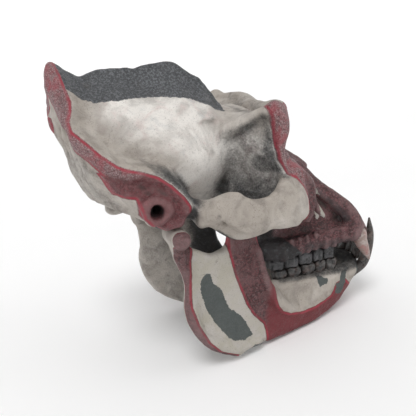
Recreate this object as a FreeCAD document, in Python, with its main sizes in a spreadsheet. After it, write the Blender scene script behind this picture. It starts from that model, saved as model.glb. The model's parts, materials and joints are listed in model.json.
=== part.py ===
"""Articulated adult male gorilla skull: separate bones, 32 teeth and a working jaw hinge.

Skull frame, in which every piece is drawn: the origin is the middle of the jaw hinge axis,
+X points to the snout, +Y to the skull's left and +Z up, with the tooth rows about level.
Each finished piece is then placed in the object's own frame: the skull is tipped nose down by
rest_tilt, so that the lower border of the mandible lies flat, and lifted onto that border.
"""
import FreeCAD, Part
import os
import re

Vector = FreeCAD.Vector
Rotation = FreeCAD.Rotation
Placement = FreeCAD.Placement

SIZES = {
    "vault_length": 132,
    "vault_breadth": 104,
    "vault_height": 92,
    "vault_wall": 7,
    "crest_thickness": 9,
    "nuchal_breadth": 142,
    "nuchal_thickness": 12,
    "nuchal_slope": 19.5,
    "shelf_thickness": 22,
    "shelf_slope": 32,
    "mastoid_height": 40,
    "orbit_breadth": 42,
    "orbit_height": 40,
    "orbit_wall": 7,
    "nasal_breadth": 26,
    "nasal_height": 56,
    "alveolar_drop": 39,
    "foramen_radius": 15,
    "ear_radius": 5,
    "jaw_breadth": 140,
    "jaw_alveolar_drop": 63,
    "border_drop": 120,
    "condyle_radius": 8,
    "condyle_length": 27,
    "condyle_middle": 60,
    "socket_gap": 1,
    "pin_radius": 1.5,
    "pin_length": 20,
    "pin_inner": 37,
    "pin_clearance": 0.05,
    "root_radius": 2.5,
    "root_length": 8,
    "root_clearance": 0.1,
    "rest_tilt": 7,
    "rest_shift": 0,
    "rest_lift": 0,
}
SIDES = {"right": -1, "left": 1}

doc = FreeCAD.newDocument("gorilla_skull")
sheet = doc.addObject("Spreadsheet::Sheet", "Sizes")
for row, (alias, value) in enumerate(SIZES.items(), start=1):
    sheet.set(f"A{row}", alias)
    sheet.set(f"B{row}", str(value))
    sheet.setAlias(f"B{row}", alias)
doc.recompute()


def cells(formula):
    """A formula in plain alias words, with each word turned into a reference to the sheet."""
    return re.sub(r"[a-z]\w*", lambda word: "Sizes." + word.group(), str(formula))


def bind(thing, **formulas):
    """Bind properties of thing to formulas of the sheet's aliases."""
    for name, formula in formulas.items():
        thing.setExpression(name, cells(formula))
    return thing


def put(thing, centre, turn=Rotation()):
    """Place thing with its own origin at centre and turned by turn."""
    thing.Placement = Placement(Vector(0, 0, 0), turn)
    for axis, formula in zip("xyz", centre):
        thing.setExpression(f"Placement.Base.{axis}", cells(formula))
    return thing


def ellipsoid(name, centre, radii, slope=0):
    """A full ellipsoid with its X, Y and Z radii, its front end dipped by slope degrees."""
    solid = doc.addObject("Part::Ellipsoid", name)
    solid.Angle1 = -90
    bind(solid, Radius2=radii[0], Radius3=radii[1], Radius1=radii[2])
    return put(solid, centre, Rotation(Vector(0, 1, 0), slope))


def box(name, low, high):
    """A box from its lowest corner to its highest corner."""
    solid = doc.addObject("Part::Box", name)
    length, width, height = (f"({top}) - ({bottom})" for bottom, top in zip(low, high))
    bind(solid, Length=length, Width=width, Height=height)
    return put(solid, low)


def cylinder(name, radius, height, foot, along):
    """A cylinder that starts at foot and runs in the direction along."""
    solid = doc.addObject("Part::Cylinder", name)
    bind(solid, Radius=radius, Height=height)
    return put(solid, foot, Rotation(Vector(0, 0, 1), Vector(*along)))


def bar(name, facing, rings):
    """A loft through ellipses: each ring is its centre, its half breadth and its half height."""
    sections = []
    for number, (centre, half_breadth, half_height) in enumerate(rings):
        ring = doc.addObject("Part::Ellipse", f"{name}_ring{number}")
        normal = Vector(*facing)
        across = normal.cross(Vector(0, 0, 1))
        if half_height > half_breadth:
            across = Vector(0, 0, 1)
        ring.MajorRadius = max(half_breadth, half_height)
        ring.MinorRadius = min(half_breadth, half_height)
        turn = Rotation(across, Vector(0, 0, 0), normal, "ZXY")
        ring.Placement = Placement(Vector(*centre), turn)
        sections.append(ring)
    loft = doc.addObject("Part::Loft", name)
    loft.Sections = sections
    loft.Solid = True
    return loft


def plate(name, plane, outline, thickness):
    """A plate: a smooth closed outline on one of the main planes, padded to both sides."""
    body = doc.addObject("PartDesign::Body", name)
    sketch = body.newObject("Sketcher::SketchObject", name + "_outline")
    plane_item = [item for item in body.Origin.OriginFeatures if item.Role == plane][0]
    sketch.AttachmentSupport = [(plane_item, "")]
    sketch.MapMode = "FlatFace"
    curve = Part.BSplineCurve()
    curve.interpolate([Vector(u, v, 0) for u, v in outline], PeriodicFlag=True)
    sketch.addGeometry(curve, False)
    pad = body.newObject("PartDesign::Pad", name + "_pad")
    pad.Profile = sketch
    pad.SideType = "Symmetric"
    bind(pad, Length=thickness)
    return body


def fuse(name, solids):
    """One solid from several that overlap."""
    whole = doc.addObject("Part::MultiFuse", name)
    whole.Shapes = solids
    whole.Refine = False
    return whole


def cut(name, solid, tools):
    """Solid with the tools taken out of it."""
    if len(tools) > 1:
        tools = [fuse(name + "_tools", tools)]
    rest = doc.addObject("Part::Cut", name)
    rest.Base = solid
    rest.Tool = tools[0]
    return rest


def common(name, first, second):
    """What two solids share."""
    shared = doc.addObject("Part::Common", name)
    shared.Base = first
    shared.Tool = second
    return shared


def with_mirror(outline, axis=0):
    """An outline drawn on one side only, closed with its mirror image."""
    far = [tuple(-v if n == axis else v for n, v in enumerate(point)) for point in outline]
    return outline + [point for point in reversed(far) if abs(point[axis]) > 0.01]


pieces = {}


def keep(label, solid):
    """Name a finished piece, and place it in the object's frame."""
    solid.Label = label
    solid.Placement = Placement(Vector(0, 0, 0), Rotation(Vector(0, 1, 0), SIZES["rest_tilt"]))
    solid.setExpression("Placement.Base.x", "Sizes.rest_shift")
    solid.setExpression("Placement.Base.z", "Sizes.rest_lift")
    pieces[label] = solid
    return solid


# ------------------------------------------------------------------ teeth
# Each row: name, middle along X, length along X, breadth across, distance from the mid-plane.
CHEEK_TEETH = [
    ("premolar_1", 158, 11.5, 11, 31),
    ("premolar_2", 146, 11, 12, 31.5),
    ("molar_1", 132.5, 14.5, 13, 32),
    ("molar_2", 117.5, 14.8, 13.5, 32.5),
    ("molar_3", 103, 13.5, 13, 33),
]
INCISORS = [("incisor_1", 204, 5, 8), ("incisor_2", 201, 13, 7)]
UPPER_CROWN = 15.5
LOWER_CROWN = 8
LOWER_STEP = 4
CANINE_LEAD = 3


def root_socket(name, foot, direction, lead=0):
    """The hole in the bone for one tooth root; it starts lead below the root's foot."""
    start = (foot[0], foot[1], f"{foot[2]} - ({lead * direction})")
    return cylinder(
        name + "_socket", "root_radius + root_clearance",
        f"root_length + root_clearance + {lead}", start, (0, 0, direction),
    )


def cheek_tooth(name, x, y, length, breadth, base_z, height, direction):
    """A molar, premolar or incisor: a block crown and a round root peg, which points up or down."""
    low_z = f"({base_z}) - ({height})" if direction > 0 else base_z
    crown = crown_block(name, x, y, low_z, length, breadth, height)
    root = cylinder(name + "_root", "root_radius", "root_length", (x, y, base_z), (0, 0, direction))
    crowns[name] = crown
    return fuse(name + "_tooth", [crown, root])


def crown_block(name, x, y, low_z, length, breadth, height):
    """A crown block with its four upright edges rounded."""
    block = box(
        name + "_block",
        (x - length / 2, y - breadth / 2, low_z),
        (x + length / 2, y + breadth / 2, f"{low_z} + {height}"),
    )
    rounded = doc.addObject("Part::Fillet", name + "_crown")
    rounded.Base = block
    doc.recompute()
    upright = [
        number for number, edge in enumerate(block.Shape.Edges, start=1)
        if abs(edge.Vertexes[0].Z - edge.Vertexes[-1].Z) > 1
    ]
    radius = min(length, breadth) * 0.32
    rounded.Edges = [(number, radius, radius) for number in upright]
    return rounded


def canine(name, base, tip, base_radius):
    """A canine: a tall cone that leans from its base to its tip, with a round root peg."""
    lean = Vector(*tip) - Vector(*base)
    crown = doc.addObject("Part::Cone", name + "_crown")
    crown.Radius1 = base_radius
    crown.Radius2 = 1.5
    crown.Height = lean.Length
    put(crown, base, Rotation(Vector(0, 0, 1), lean))
    upward = 1 if tip[2] < base[2] else -1
    root = cylinder(
        name + "_root", "root_radius", f"root_length + {CANINE_LEAD}",
        (base[0], base[1], base[2] - CANINE_LEAD * upward), (0, 0, upward),
    )
    crowns[name] = crown
    return fuse(name + "_tooth", [crown, root])


crowns = {}
incisor_sockets = []
cheek_sockets = {side: [] for side in SIDES}
lower_sockets = []
for side, sign in SIDES.items():
    for kind, x, length, breadth, y in CHEEK_TEETH:
        name = f"upper_{kind}_{side}"
        foot = (x, sign * y, "-alveolar_drop")
        tooth = cheek_tooth(name, x, sign * y, length, breadth, "-alveolar_drop", UPPER_CROWN, 1)
        keep(name, tooth)
        cheek_sockets[side].append(root_socket(name, foot, 1))
        name = f"lower_{kind}_{side}"
        lower_x = x + LOWER_STEP
        foot = (lower_x, sign * y, "-jaw_alveolar_drop")
        tooth = cheek_tooth(
            name, lower_x, sign * y, length, breadth - 2, "-jaw_alveolar_drop", LOWER_CROWN, -1,
        )
        keep(name, tooth)
        lower_sockets.append(root_socket(name, foot, -1))
    for kind, x, y, breadth in INCISORS:
        name = f"upper_{kind}_{side}"
        upper_base = "-alveolar_drop + 6"
        keep(name, cheek_tooth(name, x, sign * y, 7, breadth, upper_base, 13, 1))
        incisor_sockets += [root_socket(name, (x, sign * y, upper_base), 1), crowns[name]]
        name = f"lower_{kind}_{side}"
        lower_base = "-jaw_alveolar_drop + 3"
        keep(name, cheek_tooth(name, x + 4, sign * y, 6, breadth - 1, lower_base, 13, -1))
        lower_sockets += [root_socket(name, (x + 4, sign * y, lower_base), -1), crowns[name]]
    name = f"upper_canine_{side}"
    keep(name, canine(name, (187, sign * 37, -31), (200, sign * 39, -52), 7.5))
    cheek_sockets[side] += [root_socket(name, (187, sign * 37, -31), 1, CANINE_LEAD), crowns[name]]
    name = f"lower_canine_{side}"
    keep(name, canine(name, (204, sign * 25, -59), (204, sign * 27, -15), 7))
    lower_sockets += [root_socket(name, (204, sign * 25, -59), -1, CANINE_LEAD), crowns[name]]

# ------------------------------------------------------------------ vault, crests and base
TOP = 150
FLOOR = -80
WIDE = 100
VAULT_MIDDLE = (4, 0, 60)
vault = ellipsoid("vault", VAULT_MIDDLE, ("vault_length / 2", "vault_breadth / 2", "vault_height / 2"))
cavity = ellipsoid(
    "cavity", VAULT_MIDDLE,
    ("vault_length / 2 - vault_wall", "vault_breadth / 2 - vault_wall", "vault_height / 2 - vault_wall"),
)
crest = plate(
    "crest", "XZ_Plane",
    [(-74, 128), (-55, 124), (-24, 128), (15, 132), (33, 122), (50, 109), (68, 90), (40, 80),
     (0, 95), (-40, 92), (-62, 100)],
    "crest_thickness",
)
nuchal = plate(
    "nuchal", "YZ_Plane",
    with_mirror([(0, 138), (20, 125), (36, 104), (50, 84), (60, 62), (63, 40), (54, 18), (34, 6),
                 (16, 8), (0, 12)]),
    "nuchal_thickness",
)
put(nuchal, (-38, 0, 0), Rotation(Vector(0, 1, 0), -SIZES["nuchal_slope"]))
shelf = ellipsoid(
    "shelf", (-8, 0, 45), ("nuchal_breadth / 2", "nuchal_breadth / 2", "shelf_thickness / 2"),
    SIZES["shelf_slope"],
)
nape = ellipsoid("nape", (-38, 0, 78), (34, 51, 44))
base = box("base", (-30, -19, 6), (86, 19, 34))
foramen = cylinder("foramen", "foramen_radius", 60, (-54, 0, -10), (0.35, 0, 1))

# ------------------------------------------------------------------ face
snout = bar("snout", (1, 0, 0), [
    ((87, 0, 6), 40, 46), ((115, 0, 3), 42, 48), ((145, 0, -6), 41, 42.5), ((168, 0, -14), 41.5, 33),
    ((190, 0, -24), 37, 20), ((207, 0, -28), 20, 11),
])
dental_arch = plate(
    "dental_arch", "XY_Plane",
    with_mirror([
        (209, 0), (207, 11), (201, 20), (194, 34), (186, 44), (174, 43), (158, 39), (135, 40.5),
        (110, 41.5), (92, 39), (84, 24), (83, 0),
    ], axis=1),
    30,
)
put(dental_arch, (0, 0, "15 - alveolar_drop"))
brow = bar("brow", (0, 1, 0), [
    ((86, -71, 92), 6, 8), ((97, -40, 98), 9, 10), ((101, 0, 94), 9.2, 9), ((97, 40, 98), 9, 10),
    ((86, 71, 92), 6, 8),
])
forehead = ellipsoid("forehead", (74, 0, 80), (34, 35, 22))
below_palate = box("below_palate", (60, -70, -90), (230, 70, "-alveolar_drop"))
palate_vault = ellipsoid("palate_vault", (138, 0, "-alveolar_drop"), (62, 21, 12))
nasal = ellipsoid("nasal", (140, 0, 14), (34, "nasal_breadth / 2", "nasal_height / 2"))


def side_forms(side, sign):
    """The solids and hollows of one side of the cranium, by name."""
    outward = (0, sign, 0)
    inner, outer = on_side(sign, 38, 44)
    neck_low, neck_high = on_side(sign, 44, 80)
    orbit_shell_radii = (34, "orbit_breadth / 2 + orbit_wall", "orbit_height / 2 + orbit_wall")
    return {
        "mastoid": ellipsoid(f"mastoid_{side}", (-8, 57 * sign, 24), (34, 17, "mastoid_height / 2")),
        "inner_wall": box(f"inner_wall_{side}", (-8, inner, -5), (8, outer, 24)),
        "skull_condyle": ellipsoid(f"skull_condyle_{side}", (-32, 21 * sign, 11), (14, 8, 10)),
        "pterygoid": ellipsoid(f"pterygoid_{side}", (80, 16 * sign, -8), (7, 4, 28)),
        "jaw_socket": cylinder(
            f"jaw_socket_{side}", "condyle_radius + socket_gap", 34, (0, 44 * sign, 0), outward,
        ),
        "neck_room": box(f"neck_room_{side}", (-10, neck_low, -12), (14, neck_high, 0)),
        "pin_bore": cylinder(
            f"pin_bore_{side}", "pin_radius + pin_clearance", 12, (0, 34 * sign, 0), outward,
        ),
        "ear": cylinder(f"ear_{side}", "ear_radius", 26, (-20, 52 * sign, 25), outward),
        "orbit_shell": ellipsoid(f"orbit_shell_{side}", (88, 35 * sign, 73), orbit_shell_radii),
        "orbit": ellipsoid(
            f"orbit_{side}", (102, 35 * sign, 73), (42, "orbit_breadth / 2", "orbit_height / 2"),
        ),
        "canine_ridge": ellipsoid(f"canine_ridge_{side}", (184, 36 * sign, -18), (14, 9, 20)),
        "cheek": ellipsoid(f"cheek_{side}", (101, 49 * sign, 24), (17, 28, 34)),
        "pillar": bar(f"pillar_{side}", (0, 0, 1), [
            ((88, 68 * sign, 95), 7, 7.2), ((91, 69 * sign, 65), 5, 8), ((97, 67 * sign, 25), 8, 9),
        ]),
        "arch": bar(f"arch_{side}", (1, 0, 0), [
            ((-4, 64 * sign, 27), 8, 9), ((22, 77 * sign, 25), 5, 8), ((52, 83 * sign, 19), 4.5, 14),
            ((82, 78 * sign, 18), 5, 15), ((104, 66 * sign, 18), 6, 15),
        ]),
        "canine_gap": cylinder(f"canine_gap_{side}", 9.5, 50, (204, 26 * sign, -61), (0, 0, 1)),
    }


def on_side(sign, inner, outer):
    """The Y limits of a space on one side, lowest first."""
    return sorted((sign * inner, sign * outer))


forms = {side: side_forms(side, sign) for side, sign in SIDES.items()}


def both(name):
    """The forms with this name on both sides."""
    return [forms[side][name] for side in SIDES]


# ------------------------------------------------------------------ bones, split at the sutures
CORONAL = 32
LAMBDA = -45
EAR_LINE = 58
BASE_HALF = 24
CHEEK_FRONT = 88
CHEEK_HALF = 46
PREMAXILLA = 178
PREMAXILLA_HALF = 27
FACE_TOP = 62


def region(name, *boxes):
    """The space of one bone: one or more boxes, each given by its lowest and highest corner."""
    blocks = [box(f"{name}_region{n}", low, high) for n, (low, high) in enumerate(boxes)]
    if len(blocks) == 1:
        return blocks[0]
    return fuse(name + "_region", blocks)


def bone(label, space, solids, hollows):
    """A bone: what its solids fill of its own space, with the hollows taken out."""
    whole = fuse(label + "_form", solids) if len(solids) > 1 else solids[0]
    inside = common(label + "_inside", whole, space)
    return keep(label, cut(label + "_bone", inside, hollows))


bone(
    "frontal_bone",
    region("frontal", ((CORONAL, -WIDE, FACE_TOP), (140, WIDE, TOP))),
    [vault, crest, forehead, brow] + both("orbit_shell") + both("pillar"),
    [cavity] + both("orbit"),
)
bone(
    "occipital_bone",
    region(
        "occipital",
        ((-120, -WIDE, FLOOR), (LAMBDA, WIDE, TOP)),
        ((LAMBDA, -BASE_HALF, FLOOR), (-6, BASE_HALF, EAR_LINE)),
    ),
    [vault, crest, nuchal, nape, shelf, base] + both("skull_condyle"),
    [cavity, foramen],
)
bone(
    "sphenoid",
    region(
        "sphenoid",
        ((-6, -BASE_HALF, FLOOR), (CORONAL, BASE_HALF, EAR_LINE)),
        ((CORONAL, -60, FLOOR), (CHEEK_FRONT, 60, FACE_TOP)),
    ),
    [vault, base, forehead] + both("orbit_shell") + both("pterygoid"),
    [cavity] + both("orbit"),
)
premaxilla_space = region(
    "premaxilla", ((PREMAXILLA, -PREMAXILLA_HALF, FLOOR), (220, PREMAXILLA_HALF, FACE_TOP)),
)
nasal_space = region("nasal_bones", ((96, -9, 34), (160, 9, FACE_TOP)))
palatine_space = region("palatine", ((CHEEK_FRONT, -BASE_HALF, FLOOR), (108, BASE_HALF, -20)))
bone(
    "premaxilla", premaxilla_space, [snout, dental_arch],
    [below_palate, palate_vault, nasal] + both("canine_gap") + incisor_sockets,
)
bone("nasal_bones", nasal_space, [snout, forehead], [nasal])
bone("palatine", palatine_space, [snout, dental_arch], [below_palate, palate_vault, nasal])
for side, sign in SIDES.items():
    form = forms[side]
    low, high = on_side(sign, 0, WIDE)
    bone(
        f"parietal_{side}",
        region(f"parietal_{side}", ((LAMBDA, low, EAR_LINE), (CORONAL, high, TOP))),
        [vault, crest, nape, shelf],
        [cavity],
    )
    low, high = on_side(sign, BASE_HALF, WIDE)
    arch_low, arch_high = on_side(sign, 60, WIDE)
    bone(
        f"temporal_{side}",
        region(
            f"temporal_{side}",
            ((LAMBDA, low, FLOOR), (CORONAL, high, EAR_LINE)),
            ((CORONAL, arch_low, FLOOR), (50, arch_high, FACE_TOP)),
        ),
        [vault, shelf, form["mastoid"], form["inner_wall"], form["arch"]],
        [cavity, form["jaw_socket"], form["neck_room"], form["pin_bore"], form["ear"]],
    )
    cheek_low, cheek_high = on_side(sign, CHEEK_HALF, 60)
    bone(
        f"zygomatic_{side}",
        region(
            f"zygomatic_{side}",
            ((50, arch_low, -20), (140, arch_high, FACE_TOP)),
            ((CHEEK_FRONT, cheek_low, -20), (140, cheek_high, FACE_TOP)),
        ),
        [form["cheek"], form["pillar"], form["arch"], form["orbit_shell"]],
        [form["orbit"]],
    )
    low, high = on_side(sign, 0, CHEEK_HALF)
    bone(
        f"maxilla_{side}",
        region(f"maxilla_{side}", ((CHEEK_FRONT, low, FLOOR), (220, high, FACE_TOP))),
        [snout, dental_arch, form["cheek"], form["orbit_shell"], form["canine_ridge"], forehead],
        [below_palate, palate_vault, nasal, form["orbit"], form["canine_gap"], premaxilla_space,
         nasal_space, palatine_space] + cheek_sockets[side],
    )
vomer_sheet = box("vomer_sheet", (96, -1.2, -24), (150, 1.2, 26))
keep("vomer", common("vomer_bone", vomer_sheet, nasal))

# ------------------------------------------------------------------ mandible and its hinge
side_view = plate(
    "jaw_side_view", "XZ_Plane",
    [(-6, -4), (-1, -25), (5, -46), (5, -62), (10, -78), (20, -92), (36, -106), (56, -114), (90, -115),
     (126, -111), (155, -105), (178, -97), (200, -84), (214, -67), (206, -60), (190, -62), (150, -63),
     (108, -63), (94, -60), (87, -46), (80, -28), (73, -5), (67, 20), (57, 27), (49, 12), (45, -12),
     (34, -20), (18, -14), (7, -2)],
    "jaw_breadth",
)
top_view = plate(
    "jaw_top_view", "XY_Plane",
    with_mirror([
        (215, 0), (213, 14), (208, 28), (194, 39), (168, 39), (140, 43), (110, 49), (80, 57), (50, 63),
        (20, 66), (-10, 67), (-12, 54), (20, 53), (50, 51), (80, 46), (104, 33), (140, 25), (165, 21),
        (184, 12), (190, 0),
    ], axis=1),
    "border_drop * 3",
)
alveolar_cut = box("alveolar_cut", (98, -60, "-jaw_alveolar_drop"), (196, 60, 60))
jaw_solids = [common("jaw_plate", side_view, top_view)]
jaw_holes = [alveolar_cut]
for side, sign in SIDES.items():
    outward = (0, sign, 0)
    foot = (0, f"{sign} * (condyle_middle - condyle_length / 2)", 0)
    jaw_solids.append(cylinder(f"jaw_condyle_{side}", "condyle_radius", "condyle_length", foot, outward))
    start = (0, f"{sign} * pin_inner", 0)
    jaw_holes.append(cylinder(f"pin_hole_{side}", "pin_radius", "pin_length", start, outward))
    shaft = cylinder(f"pin_shaft_{side}", "pin_radius", "pin_length", start, outward)
    head = cylinder(f"pin_head_{side}", "pin_radius * 2", 1.5, (0, sign * 35.6, 0), outward)
    keep(f"jaw_hinge_pin_{side}", fuse(f"hinge_pin_{side}", [shaft, head]))
floor_cut = doc.addObject("Part::Box", "floor_cut")
bind(floor_cut, Length=400, Width=200, Height=60)
floor_turn = Rotation(Vector(0, 1, 0), -SIZES["rest_tilt"])
floor_corner = Vector(-100, -100, -SIZES["border_drop"] - 60)
floor_cut.Placement = Placement(floor_turn.multVec(floor_corner), floor_turn)
jaw_holes.append(floor_cut)
keep("mandible", cut("mandible_bone", fuse("mandible_solid", jaw_solids), jaw_holes + lower_sockets))

# ------------------------------------------------------------------ rest position, checks, files
doc.recompute()


def whole_box():
    """The box of all finished pieces."""
    total = FreeCAD.BoundBox()
    for piece in pieces.values():
        total.add(piece.Shape.optimalBoundingBox(False))
    return total


first = whole_box()
aliases = list(SIZES)
sheet.set(f"B{aliases.index('rest_shift') + 1}", str(-(first.XMin + first.XMax) / 2))
sheet.set(f"B{aliases.index('rest_lift') + 1}", str(-first.ZMin))
doc.recompute()

for thing in doc.Objects:
    bad = {"Invalid", "Error"} & set(thing.State)
    if bad:
        raise RuntimeError(f"{thing.Label} is {bad}")
for label, piece in pieces.items():
    if piece.Shape.isNull() or not piece.Shape.isValid() or not piece.Shape.Solids:
        raise RuntimeError(f"{label} has no valid solid")
os.makedirs("parts", exist_ok=True)
for label, piece in pieces.items():
    piece.Shape.exportStep(f"parts/{label}.step")
final = whole_box()
print(len(pieces), "pieces", final)
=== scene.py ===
"""The looks of a painted gorilla skull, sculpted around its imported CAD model.

The bones are modelled like clay: a field holds the distance to the surface, forms are merged into it
and carved out of it, and its zero level becomes the mesh. The cranium is then sawn into its bones.
Shapes are given in the skull frame, in mm: origin on the jaw hinge axis, +X to the snout, +Z up and
Y outwards from the mid-plane. The CAD frame is the same one tipped by REST_TILT, in metres.
"""
import json
import math

import bpy
import numpy as np
import openvdb
from mathutils import Matrix, Vector


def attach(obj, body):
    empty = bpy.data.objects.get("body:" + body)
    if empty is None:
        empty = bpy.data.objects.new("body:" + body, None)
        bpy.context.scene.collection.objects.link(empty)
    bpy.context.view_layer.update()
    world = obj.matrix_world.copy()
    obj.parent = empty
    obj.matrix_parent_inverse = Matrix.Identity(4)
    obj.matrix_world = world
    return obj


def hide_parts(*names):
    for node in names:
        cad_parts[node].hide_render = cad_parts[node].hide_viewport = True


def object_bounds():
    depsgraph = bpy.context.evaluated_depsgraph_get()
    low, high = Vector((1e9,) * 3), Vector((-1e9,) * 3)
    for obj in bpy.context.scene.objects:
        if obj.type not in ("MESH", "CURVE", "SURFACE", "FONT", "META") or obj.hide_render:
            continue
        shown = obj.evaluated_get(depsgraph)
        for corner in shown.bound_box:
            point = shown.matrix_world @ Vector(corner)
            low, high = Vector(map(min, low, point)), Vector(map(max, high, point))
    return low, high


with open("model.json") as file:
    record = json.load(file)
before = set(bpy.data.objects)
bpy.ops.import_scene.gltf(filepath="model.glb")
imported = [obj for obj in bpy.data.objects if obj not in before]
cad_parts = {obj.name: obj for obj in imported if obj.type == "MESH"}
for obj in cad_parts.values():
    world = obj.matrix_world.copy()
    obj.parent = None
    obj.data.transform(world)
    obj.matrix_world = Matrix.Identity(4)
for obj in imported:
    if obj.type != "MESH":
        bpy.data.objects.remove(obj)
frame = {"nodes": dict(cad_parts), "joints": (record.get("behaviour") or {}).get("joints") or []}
cad_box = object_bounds()

REST_TILT = math.radians(7)           # the skull stands on its jaw with the snout tipped down
HINGE = Vector(frame["joints"][0]["pos_m"])
TO_ROW = Matrix.Translation(HINGE) @ Matrix.Rotation(REST_TILT, 4, "Y") @ Matrix.Scale(0.001, 4)
TO_SKULL = TO_ROW.inverted()

BONE_STEP = 1.3      # mm between the points of a bone's field
TOOTH_STEP = 0.5
FAR = 24.0                                  # mm: how far from a surface the clay knows its distance
HALF_LOW = np.array((-100.0, -12.0, -126.0))
HALF_HIGH = np.array((226.0, 96.0, 146.0))
SIDES = (("right", -1), ("left", 1))


def new_object(name, data):
    """An object in the scene."""
    item = bpy.data.objects.new(name, data)
    bpy.context.scene.collection.objects.link(item)
    return item


def shade_smooth(mesh):
    mesh.polygons.foreach_set("use_smooth", np.ones(len(mesh.polygons), bool))


# ------------------------------------------------------------------ digital clay
def grid_range(low, high, corner, step, count):
    """The first and the last of a grid's points, on each axis, around a box."""
    first = np.clip(np.floor((low - corner) / step).astype(int), 0, count)
    last = np.clip(np.ceil((high - corner) / step).astype(int) + 1, 0, count)
    return first, last


class Clay:
    """Distances, in mm, to a form on a grid between two corners; inside is negative."""

    def __init__(self, step, low, high):
        self.step = step
        self.low = np.round(np.asarray(low, float) / step) * step
        self.count = np.ceil((np.asarray(high) - self.low) / step).astype(int) + 1
        self.field = np.full(self.count, FAR, np.float32)

    def window(self, low, high):
        """The slices and the coordinates of the grid between two corners."""
        first, last = grid_range(np.asarray(low), np.asarray(high), self.low, self.step, self.count)
        cut = tuple(slice(a, b) for a, b in zip(first, last))
        axes = [
            (self.low[n] + self.step * np.arange(first[n], last[n])).astype(np.float32)
            for n in range(3)
        ]
        return cut, np.meshgrid(*axes, indexing="ij", sparse=True)

    def merge(self, cut, form, blend, hollow=False):
        """Add a form, or take it away, with a rounded join about as wide as blend."""
        sign = -1 if hollow else 1
        self.field[cut] = sign * smooth_min(sign * self.field[cut], form, blend)

    def balls(self, spheres, blend, hollow=False):
        """Add or carve a form made of many balls: rows of x, y, z, radius."""
        spheres = np.asarray(spheres, float)
        reach = spheres[:, 3].max() + blend + 6
        cut, _ = self.window(spheres[:, :3].min(0) - reach, spheres[:, :3].max(0) + reach)
        corner = self.low + self.step * np.array([piece.start for piece in cut])
        size = np.array([piece.stop - piece.start for piece in cut])
        form = np.full(size, FAR, np.float32)
        for x, y, z, radius in spheres:
            around = radius + blend + 6
            centre = np.array((x, y, z))
            first, last = grid_range(centre - around, centre + around, corner, self.step, size)
            if (last <= first).any():
                continue
            axes = [
                (corner[n] + self.step * np.arange(first[n], last[n]) - centre[n]).astype(np.float32) ** 2
                for n in range(3)
            ]
            part = tuple(slice(a, b) for a, b in zip(first, last))
            distance = np.sqrt(axes[0][:, None, None] + axes[1][None, :, None] + axes[2][None, None, :])
            form[part] = np.minimum(form[part], distance - radius)
        self.merge(cut, form, blend, hollow)

    def rod(self, points, gap, blend, hollow=False):
        """Add or carve balls along a curve."""
        self.balls(curve(points, gap), blend, hollow)

    def skin(self, rows, gap, blend):
        """Add balls over the surface through several curves."""
        self.balls(sheet(rows, gap), blend)

    def egg(self, centre, radii, blend=6.0, tip=0.0, hollow=False):
        """Add or carve an ellipsoid; tip dips its front."""
        reach = max(radii) + blend + 6
        cut, (x, y, z) = self.window(np.subtract(centre, reach), np.add(centre, reach))
        x, y, z = x - centre[0], y - centre[1], z - centre[2]
        dip = math.radians(tip)
        x, z = x * math.cos(dip) - z * math.sin(dip), z * math.cos(dip) + x * math.sin(dip)
        near = np.sqrt((x / radii[0]) ** 2 + (y / radii[1]) ** 2 + (z / radii[2]) ** 2)
        steep = np.sqrt((x / radii[0] ** 2) ** 2 + (y / radii[1] ** 2) ** 2 + (z / radii[2] ** 2) ** 2)
        form = near * (near - 1) / np.maximum(steep, 1e-6)
        self.merge(cut, form, blend, hollow)

    def block(self, centre, halves, corner, blend=1.0):
        """Add a box with rounded corners."""
        reach = max(halves) + blend + 4
        cut, axes = self.window(np.subtract(centre, reach), np.add(centre, reach))
        over = [np.abs(axes[n] - centre[n]) - halves[n] + corner for n in range(3)]
        outside = np.sqrt(sum(np.maximum(part, 0) ** 2 for part in over))
        inside = np.minimum(np.maximum(np.maximum(over[0], over[1]), over[2]), 0)
        self.merge(cut, (outside + inside - corner).astype(np.float32), blend)

    def soften(self, times):
        """Average each point with its neighbours."""
        self.field = blurred(self.field, times)


def blurred(field, times):
    """A field averaged with its neighbours a number of times."""
    for _ in range(times):
        for axis in range(3):
            ahead = np.roll(field, -1, axis)
            behind = np.roll(field, 1, axis)
            field = 0.5 * field + 0.25 * (ahead + behind)
    return field


def smooth_min(first, second, blend):
    """The smaller of two distances, rounded where they meet."""
    if blend <= 0:
        return np.minimum(first, second)
    share = np.clip(0.5 + 0.5 * (second - first) / blend, 0, 1)
    return second + (first - second) * share - blend * share * (1 - share)


def curve(points, gap):
    """A smooth line through points (x, y, z, radius), sampled about every gap mm."""
    points = np.asarray(points, float)
    if len(points) == 2:
        count = max(2, int(np.linalg.norm(points[1, :3] - points[0, :3]) / gap) + 2)
        return points[0] + np.linspace(0, 1, count)[:, None] * (points[1] - points[0])
    ends = np.vstack((2 * points[0] - points[1], points, 2 * points[-1] - points[-2]))
    samples = []
    for n in range(1, len(ends) - 2):
        before, here, there, after = ends[n - 1:n + 3]
        count = max(1, int(np.linalg.norm(there[:3] - here[:3]) / gap) + 1)
        for t in np.arange(count) / count:
            samples.append(0.5 * (
                2 * here + (there - before) * t
                + (2 * before - 5 * here + 4 * there - after) * t ** 2
                + (3 * here - before - 3 * there + after) * t ** 3
            ))
    samples.append(ends[-2])
    return np.array(samples)


def resample(line, count):
    """A sampled line cut into count evenly spaced points."""
    lengths = np.linalg.norm(np.diff(line[:, :3], axis=0), axis=1)
    along = np.concatenate(([0], np.cumsum(lengths)))
    places = np.linspace(0, along[-1], count)
    return np.stack([np.interp(places, along, line[:, n]) for n in range(4)], axis=1)


def sheet(rows, gap):
    """Balls over the surface through several lines, which run side by side."""
    lines = [curve(row, gap) for row in rows]
    longest = max(len(line) for line in lines)
    lines = [resample(line, longest) for line in lines]
    balls = []
    for n in range(longest):
        balls.append(curve([line[n] for line in lines], gap))
    return np.vstack(balls)


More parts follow.
